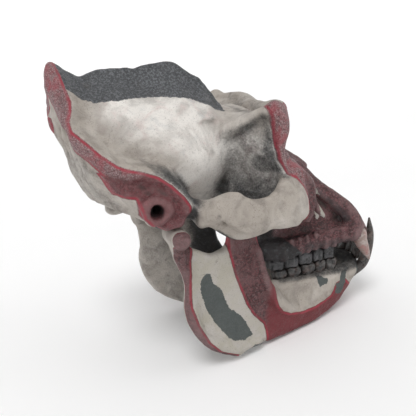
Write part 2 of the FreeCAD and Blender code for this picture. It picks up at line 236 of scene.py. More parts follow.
def lumps(shape, step, size, seed):
    """Soft random lumps about size mm wide, from -1 to 1, on a grid of that shape."""
    counts = [int(n * step / size) + 3 for n in shape]
    values = np.random.default_rng(seed).uniform(-1, 1, counts).astype(np.float32)
    for axis, n in enumerate(shape):
        along = np.arange(n) * step / size
        first = along.astype(int)
        share = along - first
        share = (share * share * (3 - 2 * share)).astype(np.float32)
        share = share.reshape([-1 if a == axis else 1 for a in range(3)])
        values = np.take(values, first, axis) * (1 - share) + np.take(values, first + 1, axis) * share
    return values


class Form:
    """A finished field: where it is, and how its surface curves."""

    def __init__(self, field, low, step):
        self.field, self.low, self.step = field.astype(np.float32), np.asarray(low, float), step
        self.broad = blurred(self.field, 5)

    def sample(self, field, points):
        """The field's value at points, between the grid's points."""
        where = (points - self.low) / self.step
        first = np.clip(np.floor(where).astype(int), 0, np.array(field.shape) - 2)
        share = np.clip(where - first, 0, 1)
        total = np.zeros(len(points))
        for corner in range(8):
            step = np.array((corner & 1, corner >> 1 & 1, corner >> 2 & 1))
            weight = np.prod(np.where(step, share, 1 - share), axis=1)
            at = first + step
            total += weight * field[at[:, 0], at[:, 1], at[:, 2]]
        return total

    def normals(self, points):
        """The surface's outward direction at points."""
        slope = np.zeros((len(points), 3))
        for axis in range(3):
            shift = np.zeros(3)
            shift[axis] = self.step * 0.75
            ahead, behind = self.sample(self.field, points + shift), self.sample(self.field, points - shift)
            slope[:, axis] = ahead - behind
        return slope / np.maximum(np.linalg.norm(slope, axis=1, keepdims=True), 1e-9)

    def bulge(self, points):
        """Above 0 on ridges and below 0 in hollows, about -1 to 1."""
        return np.clip(self.sample(self.broad, points) / 0.9, -1, 1)

    def mesh(self, name):
        """The closed mesh of the surface, in the skull frame."""
        grid = openvdb.FloatGrid(FAR)
        grid.copyFromArray(self.field)
        grid.transform = openvdb.createLinearTransform(voxelSize=self.step)
        points, _, quads = grid.convertToPolygons(0.0, 0.0)
        return closed_mesh(name, points + self.low, quads)


def closed_mesh(name, points, quads):
    """A mesh of four-sided faces that face outwards."""
    a, b, c, d = (points[quads[:, n]] for n in range(4))
    volume = np.einsum("ij,ij->i", a, np.cross(b, c) + np.cross(c, d)).sum()
    if volume < 0:
        quads = quads[:, ::-1]
    mesh = bpy.data.meshes.new(name)
    mesh.vertices.add(len(points))
    mesh.vertices.foreach_set("co", points.astype(np.float32).ravel())
    mesh.loops.add(quads.size)
    mesh.loops.foreach_set("vertex_index", quads.astype(np.int32).ravel())
    mesh.polygons.add(len(quads))
    mesh.polygons.foreach_set("loop_start", np.arange(0, quads.size, 4, dtype=np.int32))
    shade_smooth(mesh)
    mesh.update(calc_edges=True)
    mesh.validate()
    return mesh


def both_halves(clay):
    """The field of both halves of a form that was made as one half, and its low corner."""
    middle = int(round(-clay.low[1] / clay.step))
    half = clay.field[:, middle:, :]
    field = np.concatenate((half[:, :0:-1, :], half), axis=1)
    low = np.array((clay.low[0], -(half.shape[1] - 1) * clay.step, clay.low[2]))
    return field, low


# ------------------------------------------------------------------ cranium
CREST_LINE = np.array((     # x and z of the sagittal crest's top
    (-87, 124), (-81, 133), (-75, 120.5), (-69, 113), (-62, 118), (-55, 124.5), (-42, 128), (-24, 130),
    (-14, 129), (-7, 131), (12, 134), (20, 133), (28, 128), (35, 123), (43, 120), (51, 111), (59, 101),
    (66, 91), (78, 82),
))
RIM = (   # the nuchal crest, from the top of the skull down to the ear
    (-81, 0, 130, 4.2), (-77, 12, 120, 4.2), (-72.5, 22, 110, 4.5), (-72, 30, 101, 4.5), (-73.5, 39, 90, 5),
    (-72, 46, 80, 5), (-64, 53, 72, 5), (-55, 59, 65, 4.5), (-44, 64, 59, 4.5), (-30, 67, 55, 4.5),
    (-16, 69, 50, 4.5), (-7, 70, 43, 4.5), (1, 70, 34, 5), (4, 71, 27, 5),
)
NAPE_EDGE = (   # where the nuchal plane meets the skull base, from the middle out to the mastoid
    (-52, 0, 31, 6), (-52, 10, 30, 6), (-50, 22, 29, 6), (-44, 34, 27, 6), (-36, 45, 25, 6),
    (-27, 55, 23.5, 6), (-17, 61, 20.5, 6), (-8, 64, 17, 6),
)
SOCKET_RADIUS = 9.3


def crest_form(x, y, z):
    """The sagittal crest: a ridge with hollow flanks, as high as CREST_LINE says."""
    top = np.interp(x, CREST_LINE[:, 0], CREST_LINE[:, 1]).astype(np.float32)
    depth = np.maximum(top - z, 0)
    front = np.clip((x - 20) / 50, 0, 1)
    half = 2.6 + (25 + 8 * front) * (np.minimum(depth, 34) / 30) ** 1.8
    side = (np.abs(y) - half) * 0.8
    return -smooth_min(-side, -(z - top), 3.0)


def sculpt_vault(clay):
    """Braincase, crests and the nuchal plane."""
    clay.egg((4, 0, 57), (67, 50, 47))
    clay.egg((-6, 0, 52), (58, 53, 36), 10)
    clay.egg((-36, 0, 76), (34, 46, 42), 14)
    clay.egg((-46, 0, 64), (22, 46, 40), 10)
    cut, (x, y, z) = clay.window((-92, -12, 78), (84, 46, 144))
    form = crest_form(x, y, z)
    form = np.maximum(form, -86 + 0.32 * np.clip(114 - z, 0, 17) - x)
    form = np.maximum(form, x - 80)
    form = np.maximum(form, 88 - z + 0 * x)
    clay.merge(cut, form.astype(np.float32), 9)
    rim = np.array(RIM, float)
    core = np.array([(x * 0.55 - 4, y * 0.55, 56 + (z - 56) * 0.62) for x, y, z, _ in RIM])
    inner = np.column_stack((rim[:, :3] * 0.6 + core * 0.4, rim[:, 3] + 3.0))
    middle = np.column_stack((rim[:, :3] * 0.82 + core * 0.18, rim[:, 3] + 0.6))
    clay.skin([rim, middle, inner], 2.5, 7)
    edge = np.array(NAPE_EDGE, float)
    low_rim = rim.copy()
    low_rim[:, 0] += 2
    low_rim[:, 1] *= 0.95
    low_rim[:, 2] -= 3
    belly = 0.55 * resample(curve(low_rim, 3), 24) + 0.45 * resample(curve(edge, 3), 24)
    belly[:, 0] -= 1.5
    clay.skin([low_rim, belly, edge], 2.5, 7)
    # folds where the neck muscles hold on
    for start, middle_point, end in (
        ((-75, 8, 98, 3), (-75, 12, 80, 3.4), (-68, 12, 58, 3)),
        ((-73, 22, 92, 2.6), (-72, 19, 74, 3), (-62, 20, 46, 3)),
        ((-73, 31, 86, 2.6), (-70, 30, 70, 3.6), (-60, 30, 50, 3)),
        ((-70, 42, 70, 3), (-60, 44, 56, 3.6), (-50, 42, 42, 3)),
        ((-60, 50, 62, 2.4), (-52, 51, 50, 3), (-42, 49, 38, 3)),
        ((-50, 56, 52, 3), (-42, 57, 42, 3.4), (-34, 54, 34, 3)),
    ):
        clay.rod([start, middle_point, end], 2, 3.4)
    clay.rod([(-77, 0, 108, 3), (-77, 0, 86, 3.6), (-68, 0, 60, 3)], 2, 5)


EAR_HOLE = (-20, 26)      # x, z


def sculpt_ear_region(clay):
    """Temporal bone: jaw socket roof, ear tube, mastoid and the root of the cheek arch."""
    clay.rod([
        (3, 70, 28, 5.5), (4, 69.5, 22, 5), (2, 69, 17, 5), (-3, 67, 12.5, 4.8), (-9, 64.5, 12, 4.8),
        (-16, 62, 16, 4.6),
    ], 1.8, 4)
    clay.rod([(-20, 65, 27, 10), (-20, 50, 27, 13)], 3, 6)
    # the ear hole's uneven rim
    for turn in np.arange(0, 2 * math.pi, 0.2):
        reach = 8.6 + 0.8 * math.sin(3 * turn + 1)
        x, z = EAR_HOLE[0] + reach * math.cos(turn), EAR_HOLE[1] + reach * math.sin(turn)
        clay.balls([(x, 74, z, 2.8 + 0.5 * math.sin(5 * turn))], 2.5)
    clay.rod([(-36, 60, 38, 8), (-28, 63, 34, 7), (-20, 64, 36, 7), (-10, 65, 34, 7)], 2.5, 6)
    clay.rod([(-6, 62, 24, 9), (2, 55, 25, 11), (-4, 46, 25, 12)], 3, 7)
    clay.skin([
        [(24, 42, 14, 6), (24, 58, 14, 6), (24, 71, 17, 5.6)],
        [(12, 42, 18, 6.5), (12, 56, 19, 6), (15, 68, 22, 4.6)],
        [(-6, 42, 16, 6), (-6, 54, 17, 6), (-6, 60, 18, 5)],
    ], 2.5, 6)
    clay.rod([(-12, 44, 11, 4.5), (-12, 54, 11, 5)], 2, 5)
    clay.balls([(2, 41, 5, 5), (-4, 41, 5, 5)], 5)
    clay.rod([(15, 69, 26, 4.5), (20, 73, 24, 5.5), (27, 78, 24, 6)], 2, 5)
    clay.rod([(18, 72, 14, 4.6), (19, 66, 11, 4.6), (20, 60, 11, 4.6)], 2, 4)
    clay.egg((30, 0, 22), (60, 24, 14), 10)
    clay.egg((-28, 0, 26), (24, 20, 9), 8)
    clay.egg((-36, 20, 20), (12, 8, 8), 4, tip=-20)


def sculpt_arch(clay):
    """The cheek arch and the cheek's broad front plate."""
    upper = [
        (22, 75, 27, 3.6), (27, 79, 31, 3.4), (34, 82, 34.5, 3.2), (41, 84, 34.5, 3.2), (50, 84, 29.5, 3.2),
        (60, 83, 27, 3.4), (72, 80, 28, 3.6), (82, 75, 30, 4), (89, 70, 35, 4.4),
    ]
    lower = [
        (17, 73, 18, 4.6), (24, 78, 18.5, 4), (33, 82, 18, 3.6), (40, 83, 12.5, 3.6), (48, 84, 8, 4),
        (57, 83, 7, 4.4), (70, 81, 8.5, 4.6), (84, 78, 8, 5), (98, 75, 7.5, 5),
    ]
    clay.skin([upper, lower], 2.5, 4)
    clay.skin([
        [(80, 76, 28, 4), (80, 78, 16, 4.6), (82, 78, 9, 4.8)],
        [(90, 70, 37, 4), (92, 73, 24, 5), (95, 75, 8.5, 5)],
        [(98, 64, 40, 4.6), (103, 68, 24, 6), (106, 70, 9, 5.4)],
        [(104, 58, 40, 6), (110, 60, 24, 7), (112, 62, 11, 6.6)],
        [(104, 46, 40, 8), (112, 48, 26, 9), (114, 50, 12, 8)],
    ], 3, 6)
    clay.rod([(28, 72, 13, 4.6), (36, 74, 7, 5), (45, 75, 2, 5), (56, 77, 2, 4.6), (68, 79, 5, 4)], 2, 4)
    clay.rod([
        (93, 65, 44, 5), (89, 67, 56, 4), (87.5, 67.5, 68, 4.2), (88.5, 67, 80, 5.6), (87.5, 65, 90, 6.4),
        (85, 62, 97, 6.4),
    ], 2.5, 5)
    # the cheek's front ridge, below the eye
    clay.rod([
        (94, 60, 60, 4), (100, 58, 49, 5), (108, 56, 42, 5.5), (117, 53, 36, 6), (124, 50, 28, 6.5),
        (126, 48, 16, 6.5), (124, 48, 4, 6),
    ], 2.5, 5)


def sculpt_brow(clay):
    """Brow ridge, forehead, eye sockets and the wall behind them."""
    clay.egg((68, 0, 68), (40, 35, 21), 12)
    clay.rod([
        (84, 64, 93.5, 6), (90, 56, 93.5, 6.5), (96, 44, 95, 7), (100, 30, 94, 7.4), (101, 14, 90.5, 7.6),
        (101, 0, 88.5, 8),
    ], 2.5, 7)
    clay.skin([
        [(92, 54, 93, 4.5), (94, 44, 93, 5), (96, 30, 92, 5.5), (96, 14, 90, 6)],
        [(84, 60, 91, 4.5), (84, 52, 91, 5), (86, 40, 89, 5.5), (88, 20, 85, 6.5)],
        [(81, 61, 76, 4), (75, 51, 77, 4.5), (70, 38, 79, 5), (64, 22, 78, 7)],
        [(83, 61, 60, 4), (77, 51, 60, 4.5), (70, 38, 60, 5), (62, 24, 60, 7)],
        [(89, 60, 48, 4.6), (84, 50, 46, 4.6), (76, 38, 44, 5), (66, 24, 44, 7)],
        [(93, 61, 32, 4.6), (88, 51, 30, 5), (80, 38, 28, 6), (68, 24, 26, 7)],
        [(95, 60, 14, 5), (90, 48, 12, 6), (84, 36, 10, 7), (74, 22, 8, 7)],
    ], 3, 6)
    clay.skin([
        [(56, 36, 79, 5), (58, 20, 82, 6), (60, 0, 84, 7)],
        [(66, 43, 85, 4.6), (68, 24, 85, 6), (70, 0, 86, 7)],
        [(75, 54, 92, 4.4), (77, 34, 89, 5.4), (80, 0, 87, 7)],
    ], 3, 5)
    clay.rod([(102, 0, 86, 9), (104, 0, 74, 9), (110, 0, 60, 9.5)], 3, 7)
    # the plate below the eye, between the nose and the cheek
    clay.skin([
        [(110, 48, 42, 6), (112, 32, 44, 6.5), (116, 16, 48, 7)],
        [(117, 50, 24, 6.5), (121, 36, 24, 7), (126, 20, 28, 7)],
        [(118, 48, 4, 7), (125, 36, 2, 8), (134, 24, 4, 8)],
    ], 3, 6)
    clay.rod([(96, 14, 58, 6), (104, 24, 48, 6), (108, 38, 45, 6.5), (104, 52, 45, 6)], 3, 6)
    # the temporal ridge, from the brow's outer corner back to the crest
    clay.rod([
        (81, 61, 96, 4), (74, 57, 95, 3), (70, 50, 91.5, 2.6), (66, 45, 87.5, 2.6), (59, 39, 84, 2.8),
        (51, 35, 77, 3.6),
    ], 1.8, 4)
    clay.egg((82, 34, 101), (11, 15, 7.5), 5, hollow=True)
    clay.egg((65, 61, 75), (10, 11, 14), 6, hollow=True)
    clay.rod([
        (117, 35, 72, 20), (106, 35, 72, 18.5), (96, 33, 71, 15.5), (86, 29, 70, 12), (76, 21, 69, 7),
    ], 3, 3, hollow=True)


def sculpt_snout(clay):
    """Maxilla, premaxilla, nasal bones and palate."""
    clay.egg((98, 0, 12), (20, 34, 42), 12)
    clay.egg((120, 0, 0), (34, 33, 44), 12, tip=22)
    clay.egg((150, 0, -15), (38, 33, 31), 12, tip=24)
    clay.egg((184, 0, -27), (24, 24, 16), 10, tip=30)
    clay.rod([
        (94, 32, -34, 8.5), (110, 33.5, -32.5, 8.5), (128, 34, -30, 8.5), (146, 33.5, -27.5, 8.5),
        (162, 33.5, -25.5, 8.5), (176, 34, -23.5, 8.5), (188, 34, -23, 9),
    ], 3, 8)
    clay.rod([
        (187, 36, -25, 8.5), (182, 36.5, -12, 8.5), (173, 33, 0, 8), (162, 27, 9, 7.5), (150, 21, 20, 7),
        (138, 15, 30, 7), (125, 12, 41, 7),
    ], 2.5, 6)
    clay.rod([(190, 28, -26, 7), (198, 20, -25, 7.5), (200, 10, -24, 8), (201, 0, -24, 8)], 2.5, 7)
    clay.rod([
        (147, 0, 32, 6.5), (138, 0, 38.5, 6.5), (126, 0, 45.5, 7), (114, 0, 54, 7.5), (106, 0, 70, 8),
    ], 3, 7)
    # folds from the nose and the cheek down to the canine, and wrinkles above the premolars
    for fold in (
        [(136, 42, -14, 1.6), (148, 41.5, -12, 2), (160, 40.5, -10, 1.6)],
        [(140, 41, -21, 1.6), (153, 41, -19, 2), (166, 40, -18, 1.8), (178, 39, -20, 1.6)],
        [(116, 17, 50, 2.6), (133, 23, 30, 3), (150, 29, 14, 3), (166, 33, 1, 3)],
        [(120, 50, 30, 2.6), (130, 45, 16, 3), (141, 42, 3, 3), (152, 40, -9, 2.6)],
        [(118, 52, 6, 2.4), (130, 46, -6, 2.6), (144, 42.5, -17, 2.4)],
        [(166, 21, 12, 2), (178, 22, 0, 2.4), (188, 24, -11, 2.4)],
    ):
        clay.rod(fold, 2, 3.5)
    # bulges over the roots of the cheek teeth
    for x, height in ((160, -16), (151, -15), (141, -18), (133, -19), (125, -22), (117, -23), (108, -26)):
        clay.rod([(x, 40.2, gum_line("upper", x) + 2, 2.4), (x - 1, 39, height, 1.4)], 1.5, 4)
    # hollows: beside the nose, above the premolars, the nose, the palate
    clay.rod([
        (135, 34, 36, 4.5), (143, 40, 23, 6.5), (150, 45, 11, 8), (159, 48, 0, 9), (168, 50, -9, 8),
    ], 2.5, 6, hollow=True)
    clay.egg((150, 50, -14), (22, 12, 9), 6, tip=20, hollow=True)
    clay.egg((150, 0, 12), (27, 12.5, 23), 4, tip=10, hollow=True)
    clay.egg((138, 0, -46), (62, 22, 17), 6, hollow=True)
    clay.egg((86, 0, -2), (22, 13, 22), 5, hollow=True)
    clay.rod([(97, 76, 36, 3), (99, 74, 29, 3.2)], 1.5, 3, hollow=True)


def sculpt_base(clay):
    """Pterygoid plates, the braincase's hollow and the openings of the base."""
    clay.skin([
        [(86, 22, 12, 4), (88, 21, -8, 3.5), (90, 22, -26, 4)],
        [(78, 22, 10, 4), (79, 22, -10, 3), (81, 23, -22, 3.2)],
    ], 2.5, 5)
    clay.rod([(78, 13, 8, 3.5), (80, 13, -10, 3), (82, 13, -22, 3)], 2.5, 4)
    clay.egg((4, 0, 62), (58, 43, 37), 2, hollow=True)
    # foramen magnum, jaw socket, the gap in front of the ear, ear hole and ear canal
    for opening, gap, blend in (
        ([(-60, 0, -24, 14), (-46, 0, 14, 13.5), (-34, 0, 44, 14)], 3, 3),
        ([(0, 46, 0, SOCKET_RADIUS), (0, 76, 0, SOCKET_RADIUS)], 2, 3),
        ([(0, 46, -8, SOCKET_RADIUS), (0, 76, -8, SOCKET_RADIUS)], 2, 3),
        ([(9, 66, 14, 5), (10, 76, 16, 6)], 2, 3),
        ([(-20, 84, 26, 6.4), (-20, 73, 26, 5.6), (-20, 66, 26, 4)], 1.5, 1),
        ([(-18, 70, 25, 3.4), (-16, 56, 24, 3), (-14, 44, 24, 2)], 1.5, 1),
    ):
        clay.rod(opening, gap, blend, hollow=True)


# ------------------------------------------------------------------ mandible
def sculpt_mandible(clay):
    """Both halves of the jaw bone, without teeth."""
    back = [
        (1, 60, -6, 4.6), (3, 61, -18, 4.4), (7.5, 62, -32, 4.6), (9.5, 62, -46, 4.8), (8.5, 64, -58, 5),
        (11, 66, -71, 5), (17, 66, -83, 5), (28, 65, -94.5, 5), (42, 63, -103, 5.2), (54, 61, -108, 5.2),
    ]
    second = [
        (13, 57, -16, 4.2), (15, 57, -28, 4), (19, 57, -42, 4.2), (21, 57, -56, 4.4), (26, 60, -70, 4.4),
        (34, 60, -82, 4.4), (47, 59, -93, 4.8), (62, 57.5, -105, 5.2),
    ]
    third = [
        (36, 55, -23, 4), (38, 54, -34, 4), (41, 54, -48, 4.2), (45, 55, -62, 4.6), (53, 55, -76, 4.8),
        (64, 54, -90, 5.4), (77, 54, -104, 5.2),
    ]
    fourth = [
        (56, 53, -2, 4.2), (58, 52.5, -20, 4.4), (61, 52, -38, 4.6), (65, 52, -54, 5), (73, 51, -70, 5.6),
        (84, 50, -86, 6), (93, 49.5, -102.5, 5.2),
    ]
    front = [
        (67, 49, 8, 4), (71, 49, -8, 4.2), (74, 51, -26, 4.6), (77.5, 55, -44, 4.8), (86.5, 54, -60, 5.4),
        (100, 47, -76, 7), (111, 45, -99.5, 5.6),
    ]
    clay.skin([back, second, third, fourth, front], 2.5, 4)
    clay.skin([
        [(49, 54, -14, 3.8), (56, 53, -16, 4), (67, 50, -14, 4.2)],
        [(50, 54, 4, 3.4), (58, 53, 4, 3.6), (68, 49.5, 4, 4)],
        [(54, 54, 15, 3.2), (60, 53, 15, 3.4), (66, 51, 13, 3.6)],
        [(57, 53.5, 21, 3), (60, 53, 22, 3.2), (63, 52, 20, 3.2)],
    ], 2.5, 4)
    # the notch between condyle and coronoid process
    for x, z, radius in ((34, -10.5, 7.5), (39.5, -11.5, 7)):
        clay.rod([(x, 44, z, radius), (x, 66, z, radius)], 2, 2, hollow=True)
    # condyle and its neck
    clay.skin([
        [(0, 50, 0, 8), (0, 71, 0, 8)],
        [(1, 54, -6, 6), (0, 66, -6, 6)],
        [(3, 57, -18, 4.8), (2, 62, -18, 4.8)],
    ], 2.5, 4)
    # body: rows of sections from the last molar to the chin
    top = [
        (92, 38, -67, 7.5), (106, 35, -67, 8), (124, 33, -66.5, 8), (142, 32, -66, 8), (160, 30, -65.5, 8),
        (176, 28, -65, 8), (187.5, 25, -64.5, 8), (195, 18.5, -64, 7.6), (198, 8, -63, 7.6),
        (199, 0, -63, 7.6),
    ]
    middle = [
        (96, 44, -84, 7), (110, 41, -86, 7.5), (126, 38, -86, 8), (144, 35, -85, 8), (159, 32, -83, 8.5),
        (174, 27, -81, 8.6), (180, 20, -79, 8), (185, 14, -78, 8), (188, 7, -78, 8), (189, 0, -78, 8),
    ]
    low = [
        (90, 50, -104, 5.6), (106, 46, -103, 6), (124, 41, -101, 6.6), (142, 37, -98.5, 6.8),
        (155, 32, -96, 7.2), (166, 26, -93, 7.6), (174, 20, -91, 7.6), (180, 13, -87.5, 7.6),
        (183, 6, -86.5, 7.6), (183, 0, -86.5, 7.6),
    ]
    clay.skin([top, middle, low], 3, 5)
    clay.skin([
        [(178, 0, -72, 8), (180, 12, -72, 8)],
        [(170, 0, -82, 8), (170, 14, -82, 8)],
        [(166, 0, -90, 6), (164, 16, -91, 6)],
    ], 3, 7)
    # chewing-muscle ridges, and the shallow plate between them
    clay.rod([
        (75, 54, -26, 3.2), (80, 58.5, -46, 3.4), (89, 57.5, -65, 4), (103, 51, -80, 4.4), (122, 45, -89, 4),
        (142, 41, -92, 3),
    ], 3, 6)
    clay.rod([
        (9.5, 67, -60, 3), (13, 68.5, -72, 3.4), (23, 68.5, -88, 3.6), (40, 66.5, -99, 3.6),
        (58, 63, -106, 3.4), (76, 60, -104, 3),
    ], 3, 4)
    clay.egg((38, 68.5, -58), (17, 8, 30), 6, tip=18, hollow=True)
    clay.egg((36, 44, -62), (20, 8, 26), 6, tip=18, hollow=True)


# ------------------------------------------------------------------ teeth
CHEEK_TEETH = ("premolar_1", "premolar_2", "molar_1", "molar_2", "molar_3")


def bite_line(x):
    """Height, in mm, where upper and lower cheek teeth meet."""
    return -46.5 - 0.07 * (172 - x)


def gum_line(jaw, x):
    """Height, in mm, where the crowns leave the bone."""
    if jaw == "upper":
        return -34.5 - 0.12 * (158 - x)
    return -57.0 - 0.035 * (172 - x)


def skull_box(node):
    """The lowest and highest corners of a CAD node in the skull frame, in mm."""
    places = np.array([TO_SKULL @ vertex.co for vertex in frame["nodes"][node].data.vertices])
    return places.min(0), places.max(0)


def tooth_box(jaw, kind):
    """Centre and half sizes, in mm, of the left tooth of a kind."""
    low, high = skull_box(f"{jaw}_{kind}_left")
    return (low + high) / 2, (high - low) / 2


def sculpt_cheek_tooth(jaw, centre, half, seed):
    """A worn grinding tooth: a squarish crown with cusps and grooves, on two roots."""
    up = 1 if jaw == "upper" else -1
    gum, bite = gum_line(jaw, centre[0]), bite_line(centre[0])
    crown = abs(gum - bite)
    low, high = centre - half - 5, centre + half + 5
    low[2] = min(bite, gum + up * 20) - 5
    high[2] = max(bite, gum + up * 20) + 5
    clay = Clay(TOOTH_STEP, low, high)
    x, y = centre[0], centre[1]
    long, wide = half[0] - 0.15, half[1] - 0.2
    middle = (gum + bite) / 2
    clay.block((x, y, middle), (long, wide, crown / 2 - 0.6), 2.6)
    clay.egg((x, y, gum), (long * 0.82, wide * 0.84, 4), 2)
    cusp = min(long, wide) * 0.42
    rng = np.random.default_rng(seed)
    for along in (-1, 1):
        for across in (-1, 1):
            drop = rng.uniform(0.0, 0.5)
            top = bite + up * (cusp + drop)
            clay.balls([(x + along * long * 0.5, y + across * wide * 0.5, top, cusp)], 1.2)
    for start, end in (((-1, 0), (1, 0)), ((0, -1), (0, 1))):
        groove = [
            (x + start[0] * long, y + start[1] * wide, bite + up * 0.2, 0.9),
            (x + end[0] * long, y + end[1] * wide, bite + up * 0.2, 0.9),
        ]
        clay.rod(groove, 0.6, 0.8, hollow=True)
    for across in (-1, 1):
        side = y + across * (wide + 0.2)
        clay.rod([(x, side, bite, 0.9), (x, side, middle, 0.8)], 0.6, 0.8, hollow=True)
    for along in (-1, 1):
        clay.rod([
            (x + along * long * 0.42, y, gum, min(long, wide) * 0.5),
            (x + along * long * 0.45, y - 2, gum + up * 10.5, 1.4),
        ], 1, 2)
    return clay


def sculpt_incisor(jaw, centre, half):
    """A chisel-shaped front tooth on one root."""
    up = 1 if jaw == "upper" else -1
    clay = Clay(TOOTH_STEP, centre - half - (5, 5, 14), centre + half + (5, 5, 14))
    x, y = centre[0], centre[1]
    edge = bite_line(x) + up * 0.2
    gum = edge + up * 12
    wide = 4.5
    clay.skin([
        [(x, y - wide + 1.8, edge + up * 1.8, 1.8), (x, y + wide - 1.8, edge + up * 1.8, 1.8)],
        [(x, y - wide + 2.4, edge + up * 6, 2.5), (x, y + wide - 2.4, edge + up * 6, 2.5)],
        [(x - 0.5, y - wide * 0.5, gum, 3), (x - 0.5, y + wide * 0.5, gum, 3)],
    ], 0.8, 1.5)
    clay.rod([(x - 0.5, y, gum, 2.9), (x - 5, y * 0.9, edge + up * 19.5, 1.5)], 1, 2)
    return clay


def sculpt_canine(jaw):
    """A long curved fang with a groove down its front, on a thick root."""
    line = {
        "upper": [
            (178, 30, -15, 4), (188, 36.5, -24, 6.6), (190.5, 37.5, -32, 6.2), (195.5, 38.4, -42, 4.2),
            (200.5, 39, -51.5, 1),
        ],
        "lower": [
            (194, 23.5, -70, 3.6), (203, 25, -60, 5.2), (207, 25.4, -46, 5.4), (208.6, 26, -31, 4),
            (206.5, 26.8, -15.5, 1),
        ],
    }[jaw]
    line = np.array(line, float)
    clay = Clay(TOOTH_STEP, line[:, :3].min(0) - 12, line[:, :3].max(0) + 12)
    clay.rod(line, 0.7, 1)
    groove = line.copy()
    groove[:, 0] += line[:, 3] * 0.55
    groove[:, 1] -= line[:, 3] * 0.85
    groove[:, 3] = line[:, 3] * 0.22
    clay.rod(groove, 0.7, 1, hollow=True)
    return clay


def socket_of(jaw, kind):
    """Balls that a bone is carved with, so that a tooth's root has room."""
    up = 1 if jaw == "upper" else -1
    if kind == "canine":
        ends = {
            "upper": [(177, 29.6, -14, 4.4), (188, 36.5, -24, 6.9), (191, 37.5, -34, 6.9)],
            "lower": [(193.5, 23.3, -71, 4), (203, 25, -60, 5.6), (207, 25.4, -47, 5.8)],
        }[jaw]
        return curve(ends, 1)
    centre, half = tooth_box(jaw, kind)
    if kind.startswith("incisor"):
        edge = bite_line(centre[0]) + up * 0.6
        return curve([
            (centre[0] - 0.5, centre[1], edge + up * 11, 3.6),
            (centre[0] - 5, centre[1] * 0.9, edge + up * 20, 2.4),
        ], 1)
    radius = min(half[0], half[1]) * 0.72
    gum = gum_line(jaw, centre[0])
    rows = [
        [(centre[0] + along * half[0] * 0.35, centre[1], gum - up * 2, radius),
         (centre[0] + along * half[0] * 0.45, centre[1] - 2, gum + up * 11, 2.2)]
        for along in (-1, 1)
    ]
    return np.vstack([curve(row, 1) for row in rows])


TOOTH_KINDS = ("incisor_1", "incisor_2", "canine") + CHEEK_TEETH


# ------------------------------------------------------------------ paint
# Every point of a bone carries numbers: crimson, slate and cream are mm inside a painted area's edge;
# the painted shade (which also stands for the black paint along the gums), tan and wine are shares. Outlines
# are seen from the side: x and z in mm.
CREST_EDGE = ((-80, 118), (-72, 111), (-64, 105), (-54, 101.5), (-40, 102.5), (-14, 104), (2, 104),
              (26, 102), (44, 96), (52, 92), (60, 90))
RIM_FRONT = [(-80, 150), (-78, 133), (-75, 123), (-74, 115), (-72, 106), (-73, 100), (-76, 92), (-75, 86),
             (-65, 77), (-57, 69), (-47, 62), (-41, 59.5), (-30, 57), (-18, 53), (-8, 46), (2, 36), (7, 29),
             (9, 20), (12, -20), (-120, -20), (-120, 150)]
FACE = [(74, 115), (74, 104), (75, 99), (78, 90), (80, 81), (82, 69), (85, 56), (92, 44.5), (103, 39.5),
        (110, 32), (117, 20), (121, 10), (120, 1), (88, 0), (84, -20), (88, -46), (230, -46), (230, 40),
        (150, 70), (120, 115)]
TEMPLE = [(45, 78), (38, 63), (36, 47), (34, 34), (32, -30), (104, -30), (102, 37), (92, 46), (86, 56),
          (83, 68), (81, 80), (78, 92), (73, 95), (66, 87), (58, 82)]
DARK_HOLLOW = [(-24, 60), (-7, 56), (8, 46), (18, 30), (12, 24), (4, 31), (-6, 42), (-16, 50)]
EAR_FIELD = [(-70, 54), (-58, 55), (-40, 52), (-10, 60), (20, 40), (14, 10), (-6, 2), (-22, 12), (-31, 21),
             (-35, 35), (-47, 36), (-62, 42)]
CHEEK_STREAK = [(116, 48), (126, 44), (141, 27), (149, 13), (143, 15), (131, 27)]
NOSE_STREAK = [(134, 19), (145, 10), (149, -8), (144, -9), (139, 6)]
GUM_SHADOW = [(86, -20), (111, -22), (118, -28), (127, -36), (131, -42), (86, -46)]
BAND_BACK = [(45, -17), (49, -30), (53, -43), (59, -58), (64, -70), (70, -80), (75, -85), (81, -91)]
RAMUS_FIELD = [(14, -10), (12, -22), (11, -42), (10.5, -59), (16, -75), (25, -91), (37, -103), (54, -110.5),
               (60, -120), (88, -120), (84, -98)] + BAND_BACK[::-1] + [(40, -10)]
RAMUS_BORDER = ((20, 20), (14, -10), (12, -22), (11, -42), (10.5, -59), (16, -75), (25, -91), (37, -103),
                (54, -110))
RAMUS_PATCH = [(22, -38), (26, -35), (29, -36), (31, -40), (33, -46), (37, -49), (40, -52), (43, -61),
               (48, -70), (56, -76), (61, -82), (65, -89), (69, -97), (60, -100), (50, -97), (44, -93),
               (34, -81), (25, -66), (21, -52), (20, -43)]
JAW_PATCHES = (
    [(62, -112), (70, -105), (81, -106), (74, -109), (68, -114)],
    [(143, -61), (149, -62), (156, -66), (155, -70), (146, -71.5)],
    [(172, -61), (178, -61), (177, -72), (172, -83), (164, -81), (165, -72), (169, -70)],
    [(193, -60), (206, -56), (204, -67), (190, -76)],
)
MUSCLE_BAND = BAND_BACK + [
    (83, -97), (86, -125), (150, -125), (200, -90), (176, -68), (165, -71), (159, -81), (151, -85),
    (140, -87.5), (124, -88.5), (110, -86.5), (101, -82), (95, -75), (91.5, -67), (90.5, -60), (90, -53),
    (88, -44), (85, -34), (81, -23), (76, -12), (72, 0), (68, 40), (44, 40),
]


